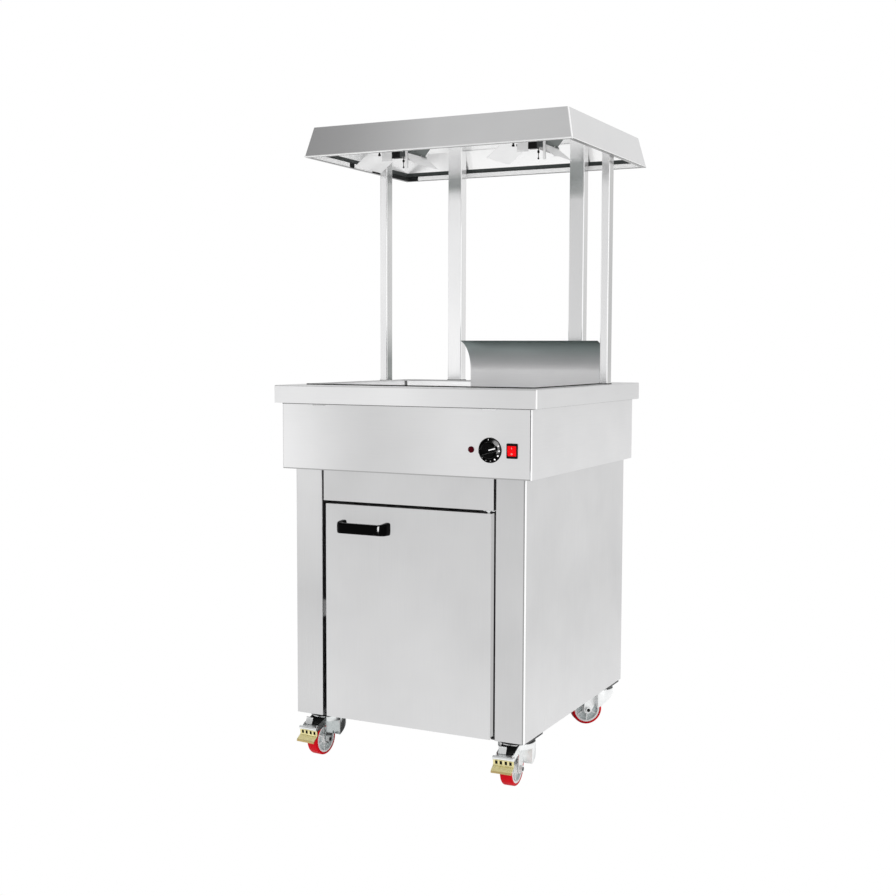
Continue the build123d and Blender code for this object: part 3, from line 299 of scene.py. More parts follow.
up = Vector((0, 0, 1))
wheel_radius = 0.03999
wheel_half_width = 0.0145
tread_round = 0.0040
hub_radius = 0.0340
tread_outline = [(-wheel_half_width, hub_radius), (-wheel_half_width, wheel_radius),
                 (wheel_half_width, wheel_radius), (wheel_half_width, hub_radius)]
hub_half_outline = [(0.0138, hub_radius), (0.0138, 0.0292), (0.0062, 0.0280), (0.0050, 0.0150),
                    (0.0095, 0.0126), (0.0165, 0.0118), (0.0170, 0.00505)]
hub_outline = [(-a, r) for a, r in hub_half_outline] + hub_half_outline[::-1]
web_edges = (0.0130, 0.0286)
hub_ribs = 6
rib_middle = 0.0206
rib_size = (0.0168, 0.0030, 0.0060)
rib_depth = 0.0072


def moulded_hub(centre, axes):
    """A turned rim and boss in the first finish, a sunk and ribbed web between them in the second, a greyer
    finish painted as the recess's shade.
    """
    sideways = axes.col[2].to_3d()
    work = turned(hub_outline, centre, sideways, axes.col[0].to_3d(), steps=64)
    for face in work.faces:
        arm = face.calc_center_median() - centre
        reach = (arm - sideways * arm.dot(sideways)).length
        face.material_index = int(web_edges[0] < reach < web_edges[1])
    for index in range(hub_ribs):
        spoke = Matrix.Translation(centre) @ Matrix.Rotation(index * math.tau / hub_ribs, 4, sideways) @ axes
        for side in (-1, 1):
            block(work, spoke @ Matrix.Translation((rib_middle, 0, side * rib_depth)), rib_size)
    return work


# The rows of the brake's strips are measured forward from the axle and up from the floor.
pedal_rows = [(0.0532, 0.0735), (0.0524, 0.0690), (0.0515, 0.0612), (0.0524, 0.0580), (0.0636, 0.0506),
              (0.0656, 0.0486), (0.0662, 0.0440)]
pedal_half_columns = [0.0030, 0.0090, 0.0140, 0.0200, 0.0250]
pedal_columns = [-across for across in reversed(pedal_half_columns)] + pedal_half_columns
pedal_gaps = ((0.0035, 0.0085), (0.0145, 0.0195))
pedal_gap_rise = (0.0615, 0.0688)
pedal_lip_top = 0.0487
pedal_sheet = 0.0022
bridge_rows = [(0.0385, 0.0816), (0.0500, 0.0800)]
bridge_columns = [-0.0165, 0.0165]
tab_rows = [(0.0415, 0.0816), (0.0372, 0.0905), (0.0352, 0.0958), (0.0366, 0.0985)]
tab_columns = [-0.0165, -0.0050, 0.0020]
roll_centre = (0.0530, 0, 0.0755)
roll_radius = 0.0045
roll_length = 0.0500
roll_round = 0.0012
tooth_shade_rows = [(0.0480, 0.0735), (0.0478, 0.0600), (0.0488, 0.0575)]
tooth_shade_columns = [-0.0235, 0.0235]
arm_shade_rows = [(0.0140, 0.0940), (0.0200, 0.0925), (0.0300, 0.0872), (0.0338, 0.0846), (0.0342, 0.0790)]
arm_shade_columns = [-0.0182, 0.0182]
shade_strip_sheet = 0.0012
axle_end = 0.0270
# A dark disc at each axle end, painted as the shade in the axle's hole.
hole_shade_outline = [(-0.0010, 0.0), (-0.0010, 0.0046), (0.0005, 0.0046), (0.0007, 0.0041), (0.0003, 0.0036),
                  (0.0003, 0.0)]


def brake_strip(rows, columns):
    """A bent strip painted dark as shade: behind the pedal's teeth, or between the fork's arms."""
    work = bmesh.new()
    bent_strip(work, rows, columns)
    thicken(work, shade_strip_sheet)
    return work


def foot_pedal():
    """A bent plate: a toothed bar under the roll, then a foot plate that slopes down to a turned lip."""
    work = bmesh.new()
    bent_strip(work, pedal_rows, pedal_columns)
    gaps = []
    for face in work.faces:
        middle = face.calc_center_median()
        in_gap = any(near < abs(middle.y) < far for near, far in pedal_gaps)
        if in_gap and pedal_gap_rise[0] < middle.z < pedal_gap_rise[1]:
            gaps.append(face)
    bmesh.ops.delete(work, geom=gaps, context="FACES")
    thicken(work, pedal_sheet)
    return work


def release_lever():
    """A roll across the front of the fork, a bridge back to the pin and a tab to lift with the toe."""
    work = bmesh.new()
    bent_strip(work, bridge_rows, bridge_columns)
    bent_strip(work, tab_rows, tab_columns)
    thicken(work, pedal_sheet)
    lie_across = Matrix.Translation(roll_centre) @ Matrix.Rotation(math.pi / 2, 4, "X")
    roll = bmesh.ops.create_cone(work, cap_ends=True, segments=24, radius1=roll_radius, radius2=roll_radius,
                                 depth=roll_length, matrix=lie_across)["verts"]
    ends = {e for v in roll for e in v.link_edges if abs(e.verts[0].co.y - e.verts[1].co.y) < same_place}
    round_off(work, list(ends), roll_round, segments=3)
    return work


# Two copies of one zinc: a darker one painted as shade for the front left fork, a lighter one painted as
# light for the rest.
fork_zinc_painted_shade = uneven_finish("fork_zinc_painted_shade", (0.86, 0.88, 0.88), (0.58, 0.61, 0.61), 0.12, 0.26, cloud=130,
                          metallic=1.0)
fork_zinc_painted_light = uneven_finish("fork_zinc_painted_light", 0.99, (0.84, 0.86, 0.86), 0.3, 0.45, cloud=130, metallic=1.0)
bolt_zinc = uneven_finish("bolt_zinc", (0.97, 0.98, 0.98), (0.76, 0.78, 0.78), 0.3, 0.45, cloud=120,
                          metallic=1.0)
# The castor plates are painted nearly black, as the shade under the cupboard.
plate_painted_shade = uneven_finish("plate_painted_shade", 0.09, (0.04, 0.04, 0.042), 0.35, 0.55, cloud=60, metallic=1.0)
# Near black, for shade painted behind the pedal's teeth, between the fork's arms and in the axle holes.
brake_painted_shade = uneven_finish("brake_painted_shade", (0.024, 0.026, 0.025), (0.008, 0.009, 0.009), 0.4, 0.6, cloud=160,
                           specular=0.15)
hub_nylon = uneven_finish("hub_nylon", 0.97, 0.88, 0.35, 0.5, cloud=60, speck=1500)
# The hub's sunk web takes a greyer copy of the nylon, painted as shade in the recess.
web_painted_shade = uneven_finish("web_painted_shade", (0.84, 0.88, 0.88), (0.42, 0.47, 0.47), 0.4, 0.55, cloud=170,
                         specular=0.2)
tread_red = uneven_finish("tread_red", (0.86, 0.002, 0.014), (0.52, 0.001, 0.006), 0.3, 0.45, cloud=70,
                          specular=0.08)
pedal_yellow = uneven_finish("pedal_yellow", (0.95, 0.88, 0.50), (0.66, 0.57, 0.25), 0.2, 0.36, cloud=150,
                             metallic=1.0)
# The pedal's turned lip is painted a darker brown, as shade.
overlay(pedal_yellow, region(pedal_yellow, Z=(None, pedal_lip_top)), (0.52, 0.40, 0.18))

for spot in ("front_left", "front_right", "rear_left", "rear_right"):
    swivel_place = Vector(joints[f"{spot}_swivel_turn"]["pos_m"])
    wheel_centre = Vector(joints[f"{spot}_wheel_spin"]["pos_m"])
    forward = (wheel_centre - swivel_place) * Vector((1, 1, 0))
    forward.normalize()
    sideways = up.cross(forward)
    wheel_axes = Matrix((up, forward, sideways)).transposed().to_4x4()

    tread = turned(tread_outline, wheel_centre, sideways, up, steps=72)
    round_off(tread, rings_at(tread, wheel_centre, sideways, wheel_radius), tread_round, segments=5)
    piece = finish_piece(tread, f"{spot}_cast_tread", tread_red, f"{spot}_wheel", smooth=50)
    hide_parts(f"{spot}_tread")
    hub = moulded_hub(wheel_centre, wheel_axes)
    piece = finish_piece(hub, f"{spot}_moulded_hub", hub_nylon, f"{spot}_wheel", smooth=35,
                         ease=0.0005)
    piece.data.materials.append(web_painted_shade)
    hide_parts(f"{spot}_hub")

    # The front left fork's darker zinc is painted shade.
    dress(f"{spot}_fork", fork_zinc_painted_shade if spot == "front_left" else fork_zinc_painted_light, ease=0.0009)
    dress(f"{spot}_axle", bolt_zinc, ease=0.0007)
    # Each axle end gets a dark disc painted as the shade in its hole.
    for side, end in ((-1, "right"), (1, "left")):
        outward = sideways * side
        socket = turned(hole_shade_outline, wheel_centre + outward * axle_end, outward, up, steps=20)
        finish_piece(socket, f"{spot}_axle_hole_shade_{end}", brake_painted_shade, f"{spot}_swivel",
                     smooth=40)

    if spot.startswith("front"):
        under_axle = Matrix((forward, sideways, up)).transposed().to_4x4()
        under_axle.translation = wheel_centre * Vector((1, 1, 0))
        pedal = foot_pedal()
        lever = release_lever()
        # Dark strips behind the teeth and between the arms, painted as shade.
        teeth_shade_strip = brake_strip(tooth_shade_rows, tooth_shade_columns)
        arms_shade_strip = brake_strip(arm_shade_rows, arm_shade_columns)
        for work in (pedal, lever, teeth_shade_strip, arms_shade_strip):
            bmesh.ops.transform(work, matrix=under_axle, verts=work.verts)
        piece = finish_piece(pedal, f"{spot}_foot_pedal", pedal_yellow, f"{spot}_brake",
                             smooth=40, ease=0.0004)
        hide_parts(f"{spot}_pedal")
        finish_piece(lever, f"{spot}_release_lever", bolt_zinc, f"{spot}_brake", smooth=40,
                     ease=0.0004)
        finish_piece(teeth_shade_strip, f"{spot}_brake_tooth_shade", brake_painted_shade, f"{spot}_brake", ease=0.0003)
        finish_piece(arms_shade_strip, f"{spot}_brake_arm_shade", brake_painted_shade, f"{spot}_swivel",
                     ease=0.0003)

# The plates' dark finish is painted shade.
dress("caster_plates", plate_painted_shade, ease=0.0006)
dress("caster_bolts", bolt_zinc, ease=0.0006)

# Cupboard: folded 1.5 mm stainless sheet, brushed and spot welded.
# The side panels turn round into the front pillars, the back panel is riveted on, and a rail ties the front.
# The floor inside is zinc coated sheet that the castors bolt through.


def reckon_vector(operation, *terms):
    """One step of arithmetic on vectors. A dot product and a length give a value, the others a vector."""
    node = add_node(terms[0].id_data, "VectorMath", dict(enumerate(terms)), operation=operation)
    return node.outputs["Value" if operation in ("DOT_PRODUCT", "LENGTH") else "Vector"]


def facing(tree):
    """The way that a face is turned."""
    return add_node(tree, "NewGeometry").outputs["True Normal"]


def brushed_grain_group():
    """Long brush strokes, across level faces and along upright ones, over soft clouds of handling."""
    entries = {"Place": "Vector", "Upright Stretch": "Vector", "Level Stretch": "Vector",
               "Bright Tone": "Color", "Dull Tone": "Color", "Smooth": "Float", "Rough": "Float"}
    group, given, result = pattern_group("brushed_grain", entries)
    upright = reckon_vector("MULTIPLY", given["Place"], given["Upright Stretch"])
    level = reckon_vector("MULTIPLY", given["Place"], given["Level Stretch"])
    flatness = reckon("ABSOLUTE", share_of(facing(group), "Z"))
    strokes_at = mix("VECTOR", reckon("GREATER_THAN", flatness, 0.8), upright, level)
    strokes = noise(strokes_at, 1, detail=4, roughness=0.6)
    clouds = noise(given["Place"], 5, detail=3)
    both = reckon("MULTIPLY_ADD", strokes, 0.45, reckon("MULTIPLY", clouds, 0.55))
    contrast = spread(both, 0.32, 0.68)
    tone = mix("RGBA", contrast, given["Dull Tone"], given["Bright Tone"])
    roughness = spread(contrast, first=given["Rough"], last=given["Smooth"])
    feed(result, {"Color": tone, "Roughness": roughness, "Height": strokes})
    return group


brushed_grain = brushed_grain_group()
grain_up = (1800, 1800, 9)
grain_along = (9, 9, 1800)
grain_flat = (9, 1500, 1500)


def brushed_steel(name, upright, bright, dull, level=grain_flat, smooth=0.27, rough=0.36, bump=0.03):
    values = {"Upright Stretch": upright, "Level Stretch": level,
              "Bright Tone": (bright, bright, bright * 1.004, 1), "Dull Tone": (dull, dull, dull * 1.006, 1),
              "Smooth": smooth, "Rough": rough}
    return patterned_finish(name, brushed_grain, values, bump, metallic=1.0)


def turned_to(material, axis, way=1):
    """A mask that is set on faces that are turned along an axis, or against it for a way of -1."""
    turn = share_of(facing(material.node_tree), axis)
    return reckon("GREATER_THAN", reckon("MULTIPLY", turn, way), 0.5)


def outside(mask):
    """A mask that is set where another one isn't."""
    return reckon("LESS_THAN", mask, 0.5)


def shade_along(material, axis, low, high, marks, blend="LINEAR", where=1.0):
    """Darkens a finish by (share, tone) marks that are spread from a low to a high place on an axis."""
    ramp = add_node(material.node_tree, "ValToRGB", {"Fac": spread(along(material, axis), low, high)})
    ramp.color_ramp.interpolation = blend
    elements = ramp.color_ramp.elements
    for index, (position, tone) in enumerate(marks):
        element = elements[index] if index < 2 else elements.new(position)
        element.position = position
        element.color = colour(tone)
    lay_over(material, "RGBA", "Base Color", where, ramp.outputs["Color"], "MULTIPLY")


def lift(material, light, strength):
    """Makes a finish glow by a colour or a mask: the lit rocker's own light, or painted light on a bend, an
    edge, a wall or a mark.
    """
    feed(shader_of(material), {"Emission Color": light, "Emission Strength": strength})


bend_width = 0.0015


def paint_bend_highlight(material, corner_x, front_y, side_width, strength):
    """Paints a highlight on the bend at a front right corner: white, with a glow."""
    bend = region(material, X=(corner_x - bend_width, None), Y=(None, front_y + side_width))
    overlay(material, bend, 1.0)
    lift(material, bend, strength)


def add_to(work, part):
    """Adds the shape of a part to a bmesh, and frees the part."""
    stamp = bpy.data.meshes.new("stamp")
    part.to_mesh(stamp)
    part.free()
    work.from_mesh(stamp)
    bpy.data.meshes.remove(stamp)


panel_steel = brushed_steel("panel_steel", grain_up, 0.665, 0.595)
# The side panels take lighter copies of the panel steel, with shade painted on by height: lightest low down,
# where the floor's reflection is painted.
left_steel = brushed_steel("left_steel", grain_up, 0.745, 0.667)
right_steel = brushed_steel("right_steel", grain_up, 0.745, 0.667)
zinc_sheet = uneven_finish("zinc_sheet", (0.7, 0.71, 0.72), (0.55, 0.56, 0.58), 0.3, 0.45, cloud=25,
                           metallic=1.0)
side_low, side_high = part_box("right_side_panel")
left_painted_shade = [(0.10, 0.91), (0.50, 0.83), (0.92, 0.99)]
side_painted_shade = [(0.08, 1.0), (0.50, 0.87), (0.92, 0.92)]
front_painted_shade = [(0.50, 0.865), (0.92, 0.836)]
shade_along(left_steel, "Z", side_low.z, side_high.z, left_painted_shade)
right_side = turned_to(right_steel, "X")
shade_along(right_steel, "Z", side_low.z, side_high.z, side_painted_shade, where=right_side)
shade_along(right_steel, "Z", side_low.z, side_high.z, front_painted_shade, where=outside(right_side))
pillar_edge_inset = 0.0014
pillar_edge_width = 0.0032
pillar_edge_x = side_high.x - pillar_edge_inset
# A dark line is painted beside the pillar's bend, as shade.
pillar_shade_line = region(right_steel, X=(pillar_edge_x - pillar_edge_width, pillar_edge_x),
                     Y=(None, side_low.y + bend_width))
overlay(right_steel, pillar_shade_line, 0.36)
paint_bend_highlight(right_steel, side_high.x, side_low.y, side_width=0.0060, strength=0.08)
dress("left_side_panel", left_steel, ease=0.0004)
dress("right_side_panel", right_steel, ease=0.0004)
dress("back_panel", panel_steel, ease=0.0004)
dress("door_rail", panel_steel, ease=0.0004)
dress("cabinet_floor", zinc_sheet)

back_low, back_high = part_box("back_panel")
rivet_inset = 0.012
rivet_rows = 6
rivet_pitch = (back_high.z - back_low.z - 2 * rivet_inset) / (rivet_rows - 1)
rivet_outline = [(0.0, 0.0), (0.0, 0.0042), (0.0007, 0.0040), (0.0014, 0.0024), (0.0015, 0.0)]
rivets = bmesh.new()
for rivet_x in (back_low.x + rivet_inset, back_high.x - rivet_inset):
    for row in range(rivet_rows):
        rivet_seat = Vector((rivet_x, back_high.y, back_low.z + rivet_inset + rivet_pitch * row))
        add_to(rivets, turned(rivet_outline, rivet_seat, Vector((0, 1, 0)), up, steps=16))
finish_piece(rivets, "back_panel_rivets", bolt_zinc, "cabinet", smooth=40)

# Door: a folded stainless skin with a flat liner behind it, on two pins.
# The pull is a black moulded bow with a glossy skin and flared feet, screwed on from inside.
# Hinge plates, pins and screws are bright zinc, and the magnet catch is white plastic.
door_steel = brushed_steel("door_steel", grain_up, 0.755, 0.695, smooth=0.36, rough=0.46)
door_low, door_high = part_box("door_skin")
# The door is painted lighter low down, as the floor's reflection.
door_painted_light = [(0.0, 1.0), (0.40, 0.94), (1.0, 0.90)]
shade_along(door_steel, "Z", door_low.z, door_high.z, door_painted_light)
door_edge_skin = 0.00012
door_edge_depth = 0.0160
# The door's right edge is painted a flat light grey with a glow, as light.
door_edge_painted_light = region(door_steel, X=(door_high.x - door_edge_skin, None),
                   Y=(None, door_low.y + door_edge_depth))
overlay(door_steel, door_edge_painted_light, 0.12)
lift(door_steel, door_edge_painted_light, strength=0.48)
dress("door_skin", door_steel, ease=0.0004)
dress("door_liner", door_steel)
for fitting in ("handle_screws", "upper_hinge", "lower_hinge", "hinge_pins"):
    dress(fitting, bolt_zinc, ease=0.0004)
dress("magnet_catch", hub_nylon, ease=0.0008)

bow_black = uneven_finish("bow_black", 0.00004, 0.00001, 0.06, 0.12, cloud=60, speck=600, specular=0.03)
bow_low, bow_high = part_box("door_handle")
foot_middle = 0.5700
foot_half_height = 0.0150
grip_half_height = 0.0124
bow_level = 0.5648
bow_half_thick = 0.0075
bow_turn = 0.0125
bow_turn_steps = 10
foot_flat = 0.0030
squareness = 0.45


def pull_on(work, faces, motion, squeeze=1.0):
    """Pulls the end of the bow on by a motion, and draws its height in about the bow's level."""
    made = bmesh.ops.extrude_face_region(work, geom=faces)["geom"]
    fresh = [g for g in made if isinstance(g, bmesh.types.BMVert)]
    bmesh.ops.transform(work, matrix=motion, verts=fresh)
    bmesh.ops.scale(work, verts=fresh, vec=(1, 1, squeeze), space=Matrix.Translation((0, 0, -bow_level)))
    bmesh.ops.delete(work, geom=faces, context="FACES_ONLY")
    return [g for g in made if isinstance(g, bmesh.types.BMFace)]


def slide_on(work, faces, across, outward, squeeze=1.0):
    return pull_on(work, faces, Matrix.Translation((across, -outward, 0)), squeeze)


def swing_on(work, faces, centre, squeeze):
    """Turns the end of the bow a quarter round an upright line in small steps."""
    part_turn = Matrix.Rotation(math.pi / 2 / bow_turn_steps, 4, "Z")
    motion = Matrix.Translation(centre) @ part_turn @ Matrix.Translation(-centre)
    for _ in range(bow_turn_steps):
        faces = pull_on(work, faces, motion, squeeze ** (1 / bow_turn_steps))
    return faces


bow = bmesh.new()
section = bmesh.ops.create_circle(bow, cap_ends=True, segments=40, radius=1.0)["verts"]
for v in section:
    square_x = math.copysign(abs(v.co.x) ** squareness, v.co.x)
    square_z = math.copysign(abs(v.co.y) ** squareness, v.co.y)
    v.co = Vector((square_x * bow_half_thick, 0, square_z * foot_half_height))
bmesh.ops.translate(bow, verts=section, vec=(bow_low.x + bow_half_thick, bow_high.y, foot_middle))
bow_straight = (bow_high.y - bow_low.y) - bow_half_thick - bow_turn
bow_span = (bow_high.x - bow_low.x) - 2 * bow_half_thick - 2 * bow_turn
neck = grip_half_height / foot_half_height
bend_share = 0.75
bend_neck = neck ** bend_share
leg_neck = neck ** (1 - bend_share)
left_turn = Vector((bow_low.x + bow_half_thick + bow_turn, bow_high.y - bow_straight, 0))
right_turn = Vector((bow_high.x - bow_half_thick - bow_turn, bow_high.y - bow_straight, 0))
bow_end = slide_on(bow, bow.faces[:], 0, foot_flat)
bow_end = slide_on(bow, bow_end, 0, bow_straight - foot_flat, leg_neck)
bow_end = swing_on(bow, bow_end, left_turn, bend_neck)
bow_end = slide_on(bow, bow_end, bow_span, 0)
bow_end = swing_on(bow, bow_end, right_turn, 1 / bend_neck)
bow_end = slide_on(bow, bow_end, 0, foot_flat - bow_straight, 1 / leg_neck)
slide_on(bow, bow_end, 0, -foot_flat)
bmesh.ops.holes_fill(bow, edges=[e for e in bow.edges if e.is_boundary], sides=0)
bow_piece = finish_piece(bow, "door_bow_handle", bow_black, "door", smooth=50)
bow_piece.visible_glossy = False
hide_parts("door_handle")

# Control housing: a stainless wrap round the sides and back, with a control panel let in at the front.
# The panel's left joint is welded, and the slots under the worktop let warm air out.
# The floor sheet inside carries the wiring, and the gland for the supply lead is black nylon.
housing_steel = brushed_steel("housing_steel", grain_along, 0.76, 0.70)
control_steel = brushed_steel("control_steel", grain_along, 0.92, 0.86)
panel_low, panel_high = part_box("control_panel")
shell_low, shell_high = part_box("housing_shell")
# The control panel takes a lighter copy of the steel, with light and shade painted in waves across it as
# reflection.
control_painted_reflection = [(0.0, 1.0), (0.30, 0.70), (0.52, 0.74), (0.76, 0.92), (0.92, 0.80), (1.0, 0.84)]
shade_along(control_steel, "X", panel_low.x, panel_high.x, control_painted_reflection, "B_SPLINE")
# A dark band is painted along the panel's foot, as shade.
control_foot_shade = 0.0026
overlay(control_steel, region(control_steel, Z=(None, panel_low.z + control_foot_shade)), 0.42)
dress("control_panel", control_steel)
paint_bend_highlight(housing_steel, shell_high.x, shell_low.y, side_width=0.0060, strength=0.08)
dress("housing_shell", housing_steel, ease=0.0004)
steel_sheet = 0.0015
weld_inset = 0.0012
weld_depth = 0.0020
weld_width = panel_low.x - shell_low.x - steel_sheet
weld_size = Vector((weld_width, weld_depth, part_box("worktop")[0].z - panel_low.z))
weld_middle = panel_low + Vector((-weld_size.x / 2, weld_inset, weld_size.z / 2))
weld = bmesh.new()
block(weld, Matrix.Translation(weld_middle), weld_size)
finish_piece(weld, "control_panel_weld", control_steel, "cabinet", ease=0.0002)
dress("housing_floor", zinc_sheet)
gland_black = uneven_finish("gland_black", (0.03, 0.03, 0.031), (0.02, 0.02, 0.021), 0.4, 0.55)
dress("cable_gland", gland_black, ease=0.0008)

# Worktop and heated well: a folded stainless top with welded corners, and a pan hung in its cut-out.
# The pan is heated from below by a bent tube element held by clamps.
# Dark strips painted as shadow line the joint under the worktop and the rim of the well.
bead_share = 0.9


def dark_band_ring(low, high, level, height, wide, corner):
    """A thin upright band round a rectangle, with rounded corners, for a painted shadow."""
    work = bmesh.new()
    middle = Vector(((low.x + high.x) / 2, (low.y + high.y) / 2, level + height / 2))
    size = (high.x - low.x + 2 * wide, high.y - low.y + 2 * wide, height)
    block(work, Matrix.Translation(middle), size)
    bmesh.ops.delete(work, geom=[f for f in work.faces if abs(f.normal.z) > 0.5], context="FACES_ONLY")
    uprights = [e for e in work.edges if abs(e.verts[0].co.z - e.verts[1].co.z) > height / 2]
    round_off(work, uprights, corner, segments=4)
    thicken(work, bead_share * wide)
    return work


def ring_band(low, high, outline):
    """A closed band round a rectangle: each (inset, level) pair of its outline is one rectangular ring."""
    work = bmesh.new()
    rings = []
    for inset, level in outline:
        middle = Matrix.Translation(((low.x + high.x) / 2, (low.y + high.y) / 2, level))
        size = Matrix.Diagonal((high.x - low.x - 2 * inset, high.y - low.y - 2 * inset, 1, 1))
        made = bmesh.ops.create_grid(work, x_segments=1, y_segments=1, size=0.5, matrix=middle @ size)
        rings.append(list(made["verts"][0].link_faces[0].edges))
    bmesh.ops.delete(work, geom=work.faces[:], context="FACES_ONLY")
    for ring, following in zip(rings, rings[1:] + rings[:1]):
        bmesh.ops.bridge_loops(work, edges=ring + following)
    return work


worktop_steel = brushed_steel("worktop_steel", grain_along, 0.85, 0.79)
top_low, top_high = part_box("worktop")
# The worktop is painted darker towards its right end, as shade.
top_painted_shade = [(0.0, 1.0), (0.50, 1.0), (0.92, 0.86), (1.0, 0.88)]
shade_along(worktop_steel, "X", top_low.x, top_high.x, top_painted_shade)
paint_bend_highlight(worktop_steel, top_high.x, top_low.y, side_width=0.0055, strength=0.04)
dress("worktop", worktop_steel, ease=0.0003)

well_low = Vector((-0.2960, -0.2720, 0))
well_high = Vector((0.2960, 0.2330, 0))
well_corner = 0.0060
pan_steel = brushed_steel("pan_steel", grain_along, 0.96, 0.92)
# The pan's back left corner is painted dark as shade, and its back wall glows as painted light.
pan_corner_shade = region(pan_steel, X=(None, well_low.x + well_corner), Y=(well_high.y - well_corner, None))
overlay(pan_steel, pan_corner_shade, 0.15)
pan_back = turned_to(pan_steel, "Y", -1)
lift(pan_steel, all_of(pan_back, outside(pan_corner_shade)), strength=0.40)
dress("chip_pan", pan_steel, ease=0.0004)

joint_high = 0.0022
joint_proud = 0.0003
joint_sunk = 0.0004
joint_outline = [(-joint_proud, top_low.z - joint_high), (-joint_proud, top_low.z), (joint_sunk, top_low.z),
                 (joint_sunk, top_low.z - joint_high)]
# A grey strip under the worktop, painted as the joint's shadow.
joint_painted_shadow = uneven_finish("joint_painted_shadow", 0.30, 0.16, 0.5, 0.7, cloud=30, specular=0.2)
joint_low = Vector((shell_low.x, panel_low.y, 0))
joint_shadow_band = ring_band(joint_low, shell_high, joint_outline)
finish_piece(joint_shadow_band, "housing_joint_sealant", joint_painted_shadow, "cabinet")


# A near black finish for shadow painted as thin bands.
def painted_shadow_finish(name):
    return uneven_finish(name, 0.03, 0.015, 0.5, 0.7, cloud=200, specular=0.2)


# The rim's band is painted shadow: dark along the front and right, and painted light, pale, where it lies
# against the lit walls.
rim_sealant = painted_shadow_finish("rim_sealant")
rim_front = 0.0140
rim_painted_light = region(rim_sealant, Y=(well_low.y + rim_front, None), X=(None, well_high.x - well_corner))
overlay(rim_sealant, rim_painted_light, 0.80)
well_shadow_band = dark_band_ring(well_low, well_high, top_high.z, height=0.0024, wide=0.0022, corner=0.0100)
finish_piece(well_shadow_band, "well_rim_sealant", rim_sealant, "cabinet")
element_dark = uneven_finish("element_dark", (0.2, 0.19, 0.18), (0.12, 0.11, 0.1), 0.4, 0.6, metallic=1.0)
dress("heating_element", element_dark)
dress("element_clamps", zinc_sheet, ease=0.0004)

# Drain tray and chip guard: the tray is a perforated lift-out plate in the pan.
# The guard is a separate sheet on it, rolled forward at the top, that keeps the chips off the posts.
# Both are thin stainless sheet. The guard is brushed along its length and painted darker towards its top, as
# shade and reflection.
tray_steel = brushed_steel("tray_steel", grain_along, 0.62, 0.52)
dress("drain_tray", tray_steel, ease=0.0003)
guard_low, guard_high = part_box("chip_guard")
guard_bend_z = 0.930
guard_radius = 0.080
guard_sweep = 78
guard_foot = 0.060
guard_corner = 0.0020
guard = bmesh.new()
corners = [guard.verts.new((x, guard_high.y - guard_foot, guard_low.z)) for x in (guard_low.x, guard_high.x)]
guard_edge = [guard.edges.new(corners)]
guard_edge = draw_out(guard, guard_edge, (0, guard_foot, 0))
guard_edge = draw_out(guard, guard_edge, (0, 0, guard_bend_z - guard_low.z))
bmesh.ops.spin(guard, geom=guard_edge, cent=(0, guard_high.y - guard_radius, guard_bend_z), axis=(1, 0, 0),
               angle=math.radians(guard_sweep), steps=36)
bmesh.ops.remove_doubles(guard, verts=guard.verts, dist=same_place)
tip_z = max(v.co.z for v in guard.verts)
tips = [v for v in guard.verts if v.co.z > tip_z - same_place]
bmesh.ops.bevel(guard, geom=tips, offset=guard_corner, offset_type="OFFSET", affect="VERTICES", segments=3,
                profile=0.5, material=-1)
bmesh.ops.recalc_face_normals(guard, faces=guard.faces)
upright_z = (guard_low.z + guard_bend_z) / 2
upright_face = min(guard.faces, key=lambda f: abs(f.calc_center_median().z - upright_z))
if upright_face.normal.y > 0:
    bmesh.ops.reverse_faces(guard, faces=guard.faces[:])
bmesh.ops.solidify(guard, geom=guard.faces[:], thickness=-steel_sheet)
guard_grain = (8, 900, 900)
guard_steel = brushed_steel("guard_steel", guard_grain, 1.0, 0.90, level=guard_grain, smooth=0.36,
                            rough=0.46, bump=0.015)
guard_shade_start = 0.915
guard_painted_shade = [(0.0, 1.0), (0.30, 1.0), (0.52, (0.82, 0.85, 0.85)), (0.75, (0.57, 0.64, 0.63)),
              (0.96, (0.25, 0.31, 0.30)), (1.0, (0.12, 0.14, 0.14))]
shade_along(guard_steel, "Z", guard_shade_start, tip_z, guard_painted_shade)
# The guard's right end is painted dark, as shade.
guard_end = 0.0060
guard_end_painted_shade = [(0.0, 1.0), (0.50, 1.0), (0.64, (0.22, 0.24, 0.24)), (1.0, (0.22, 0.24, 0.24))]
shade_along(guard_steel, "X", guard_high.x - guard_end, guard_high.x, guard_end_painted_shade)
piece = finish_piece(guard, "rolled_chip_guard", guard_steel, "guard", smooth=30)
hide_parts("chip_guard")

# Gantry: four brushed stainless tubes with closed ends, bolted through the worktop and through the hood.
# A thin dark band, painted as contact shadow, rings the foot of each tube on the worktop.
# The bolts over the hood have domed zinc heads.
post_foot_shadow = painted_shadow_finish("post_foot_shadow")
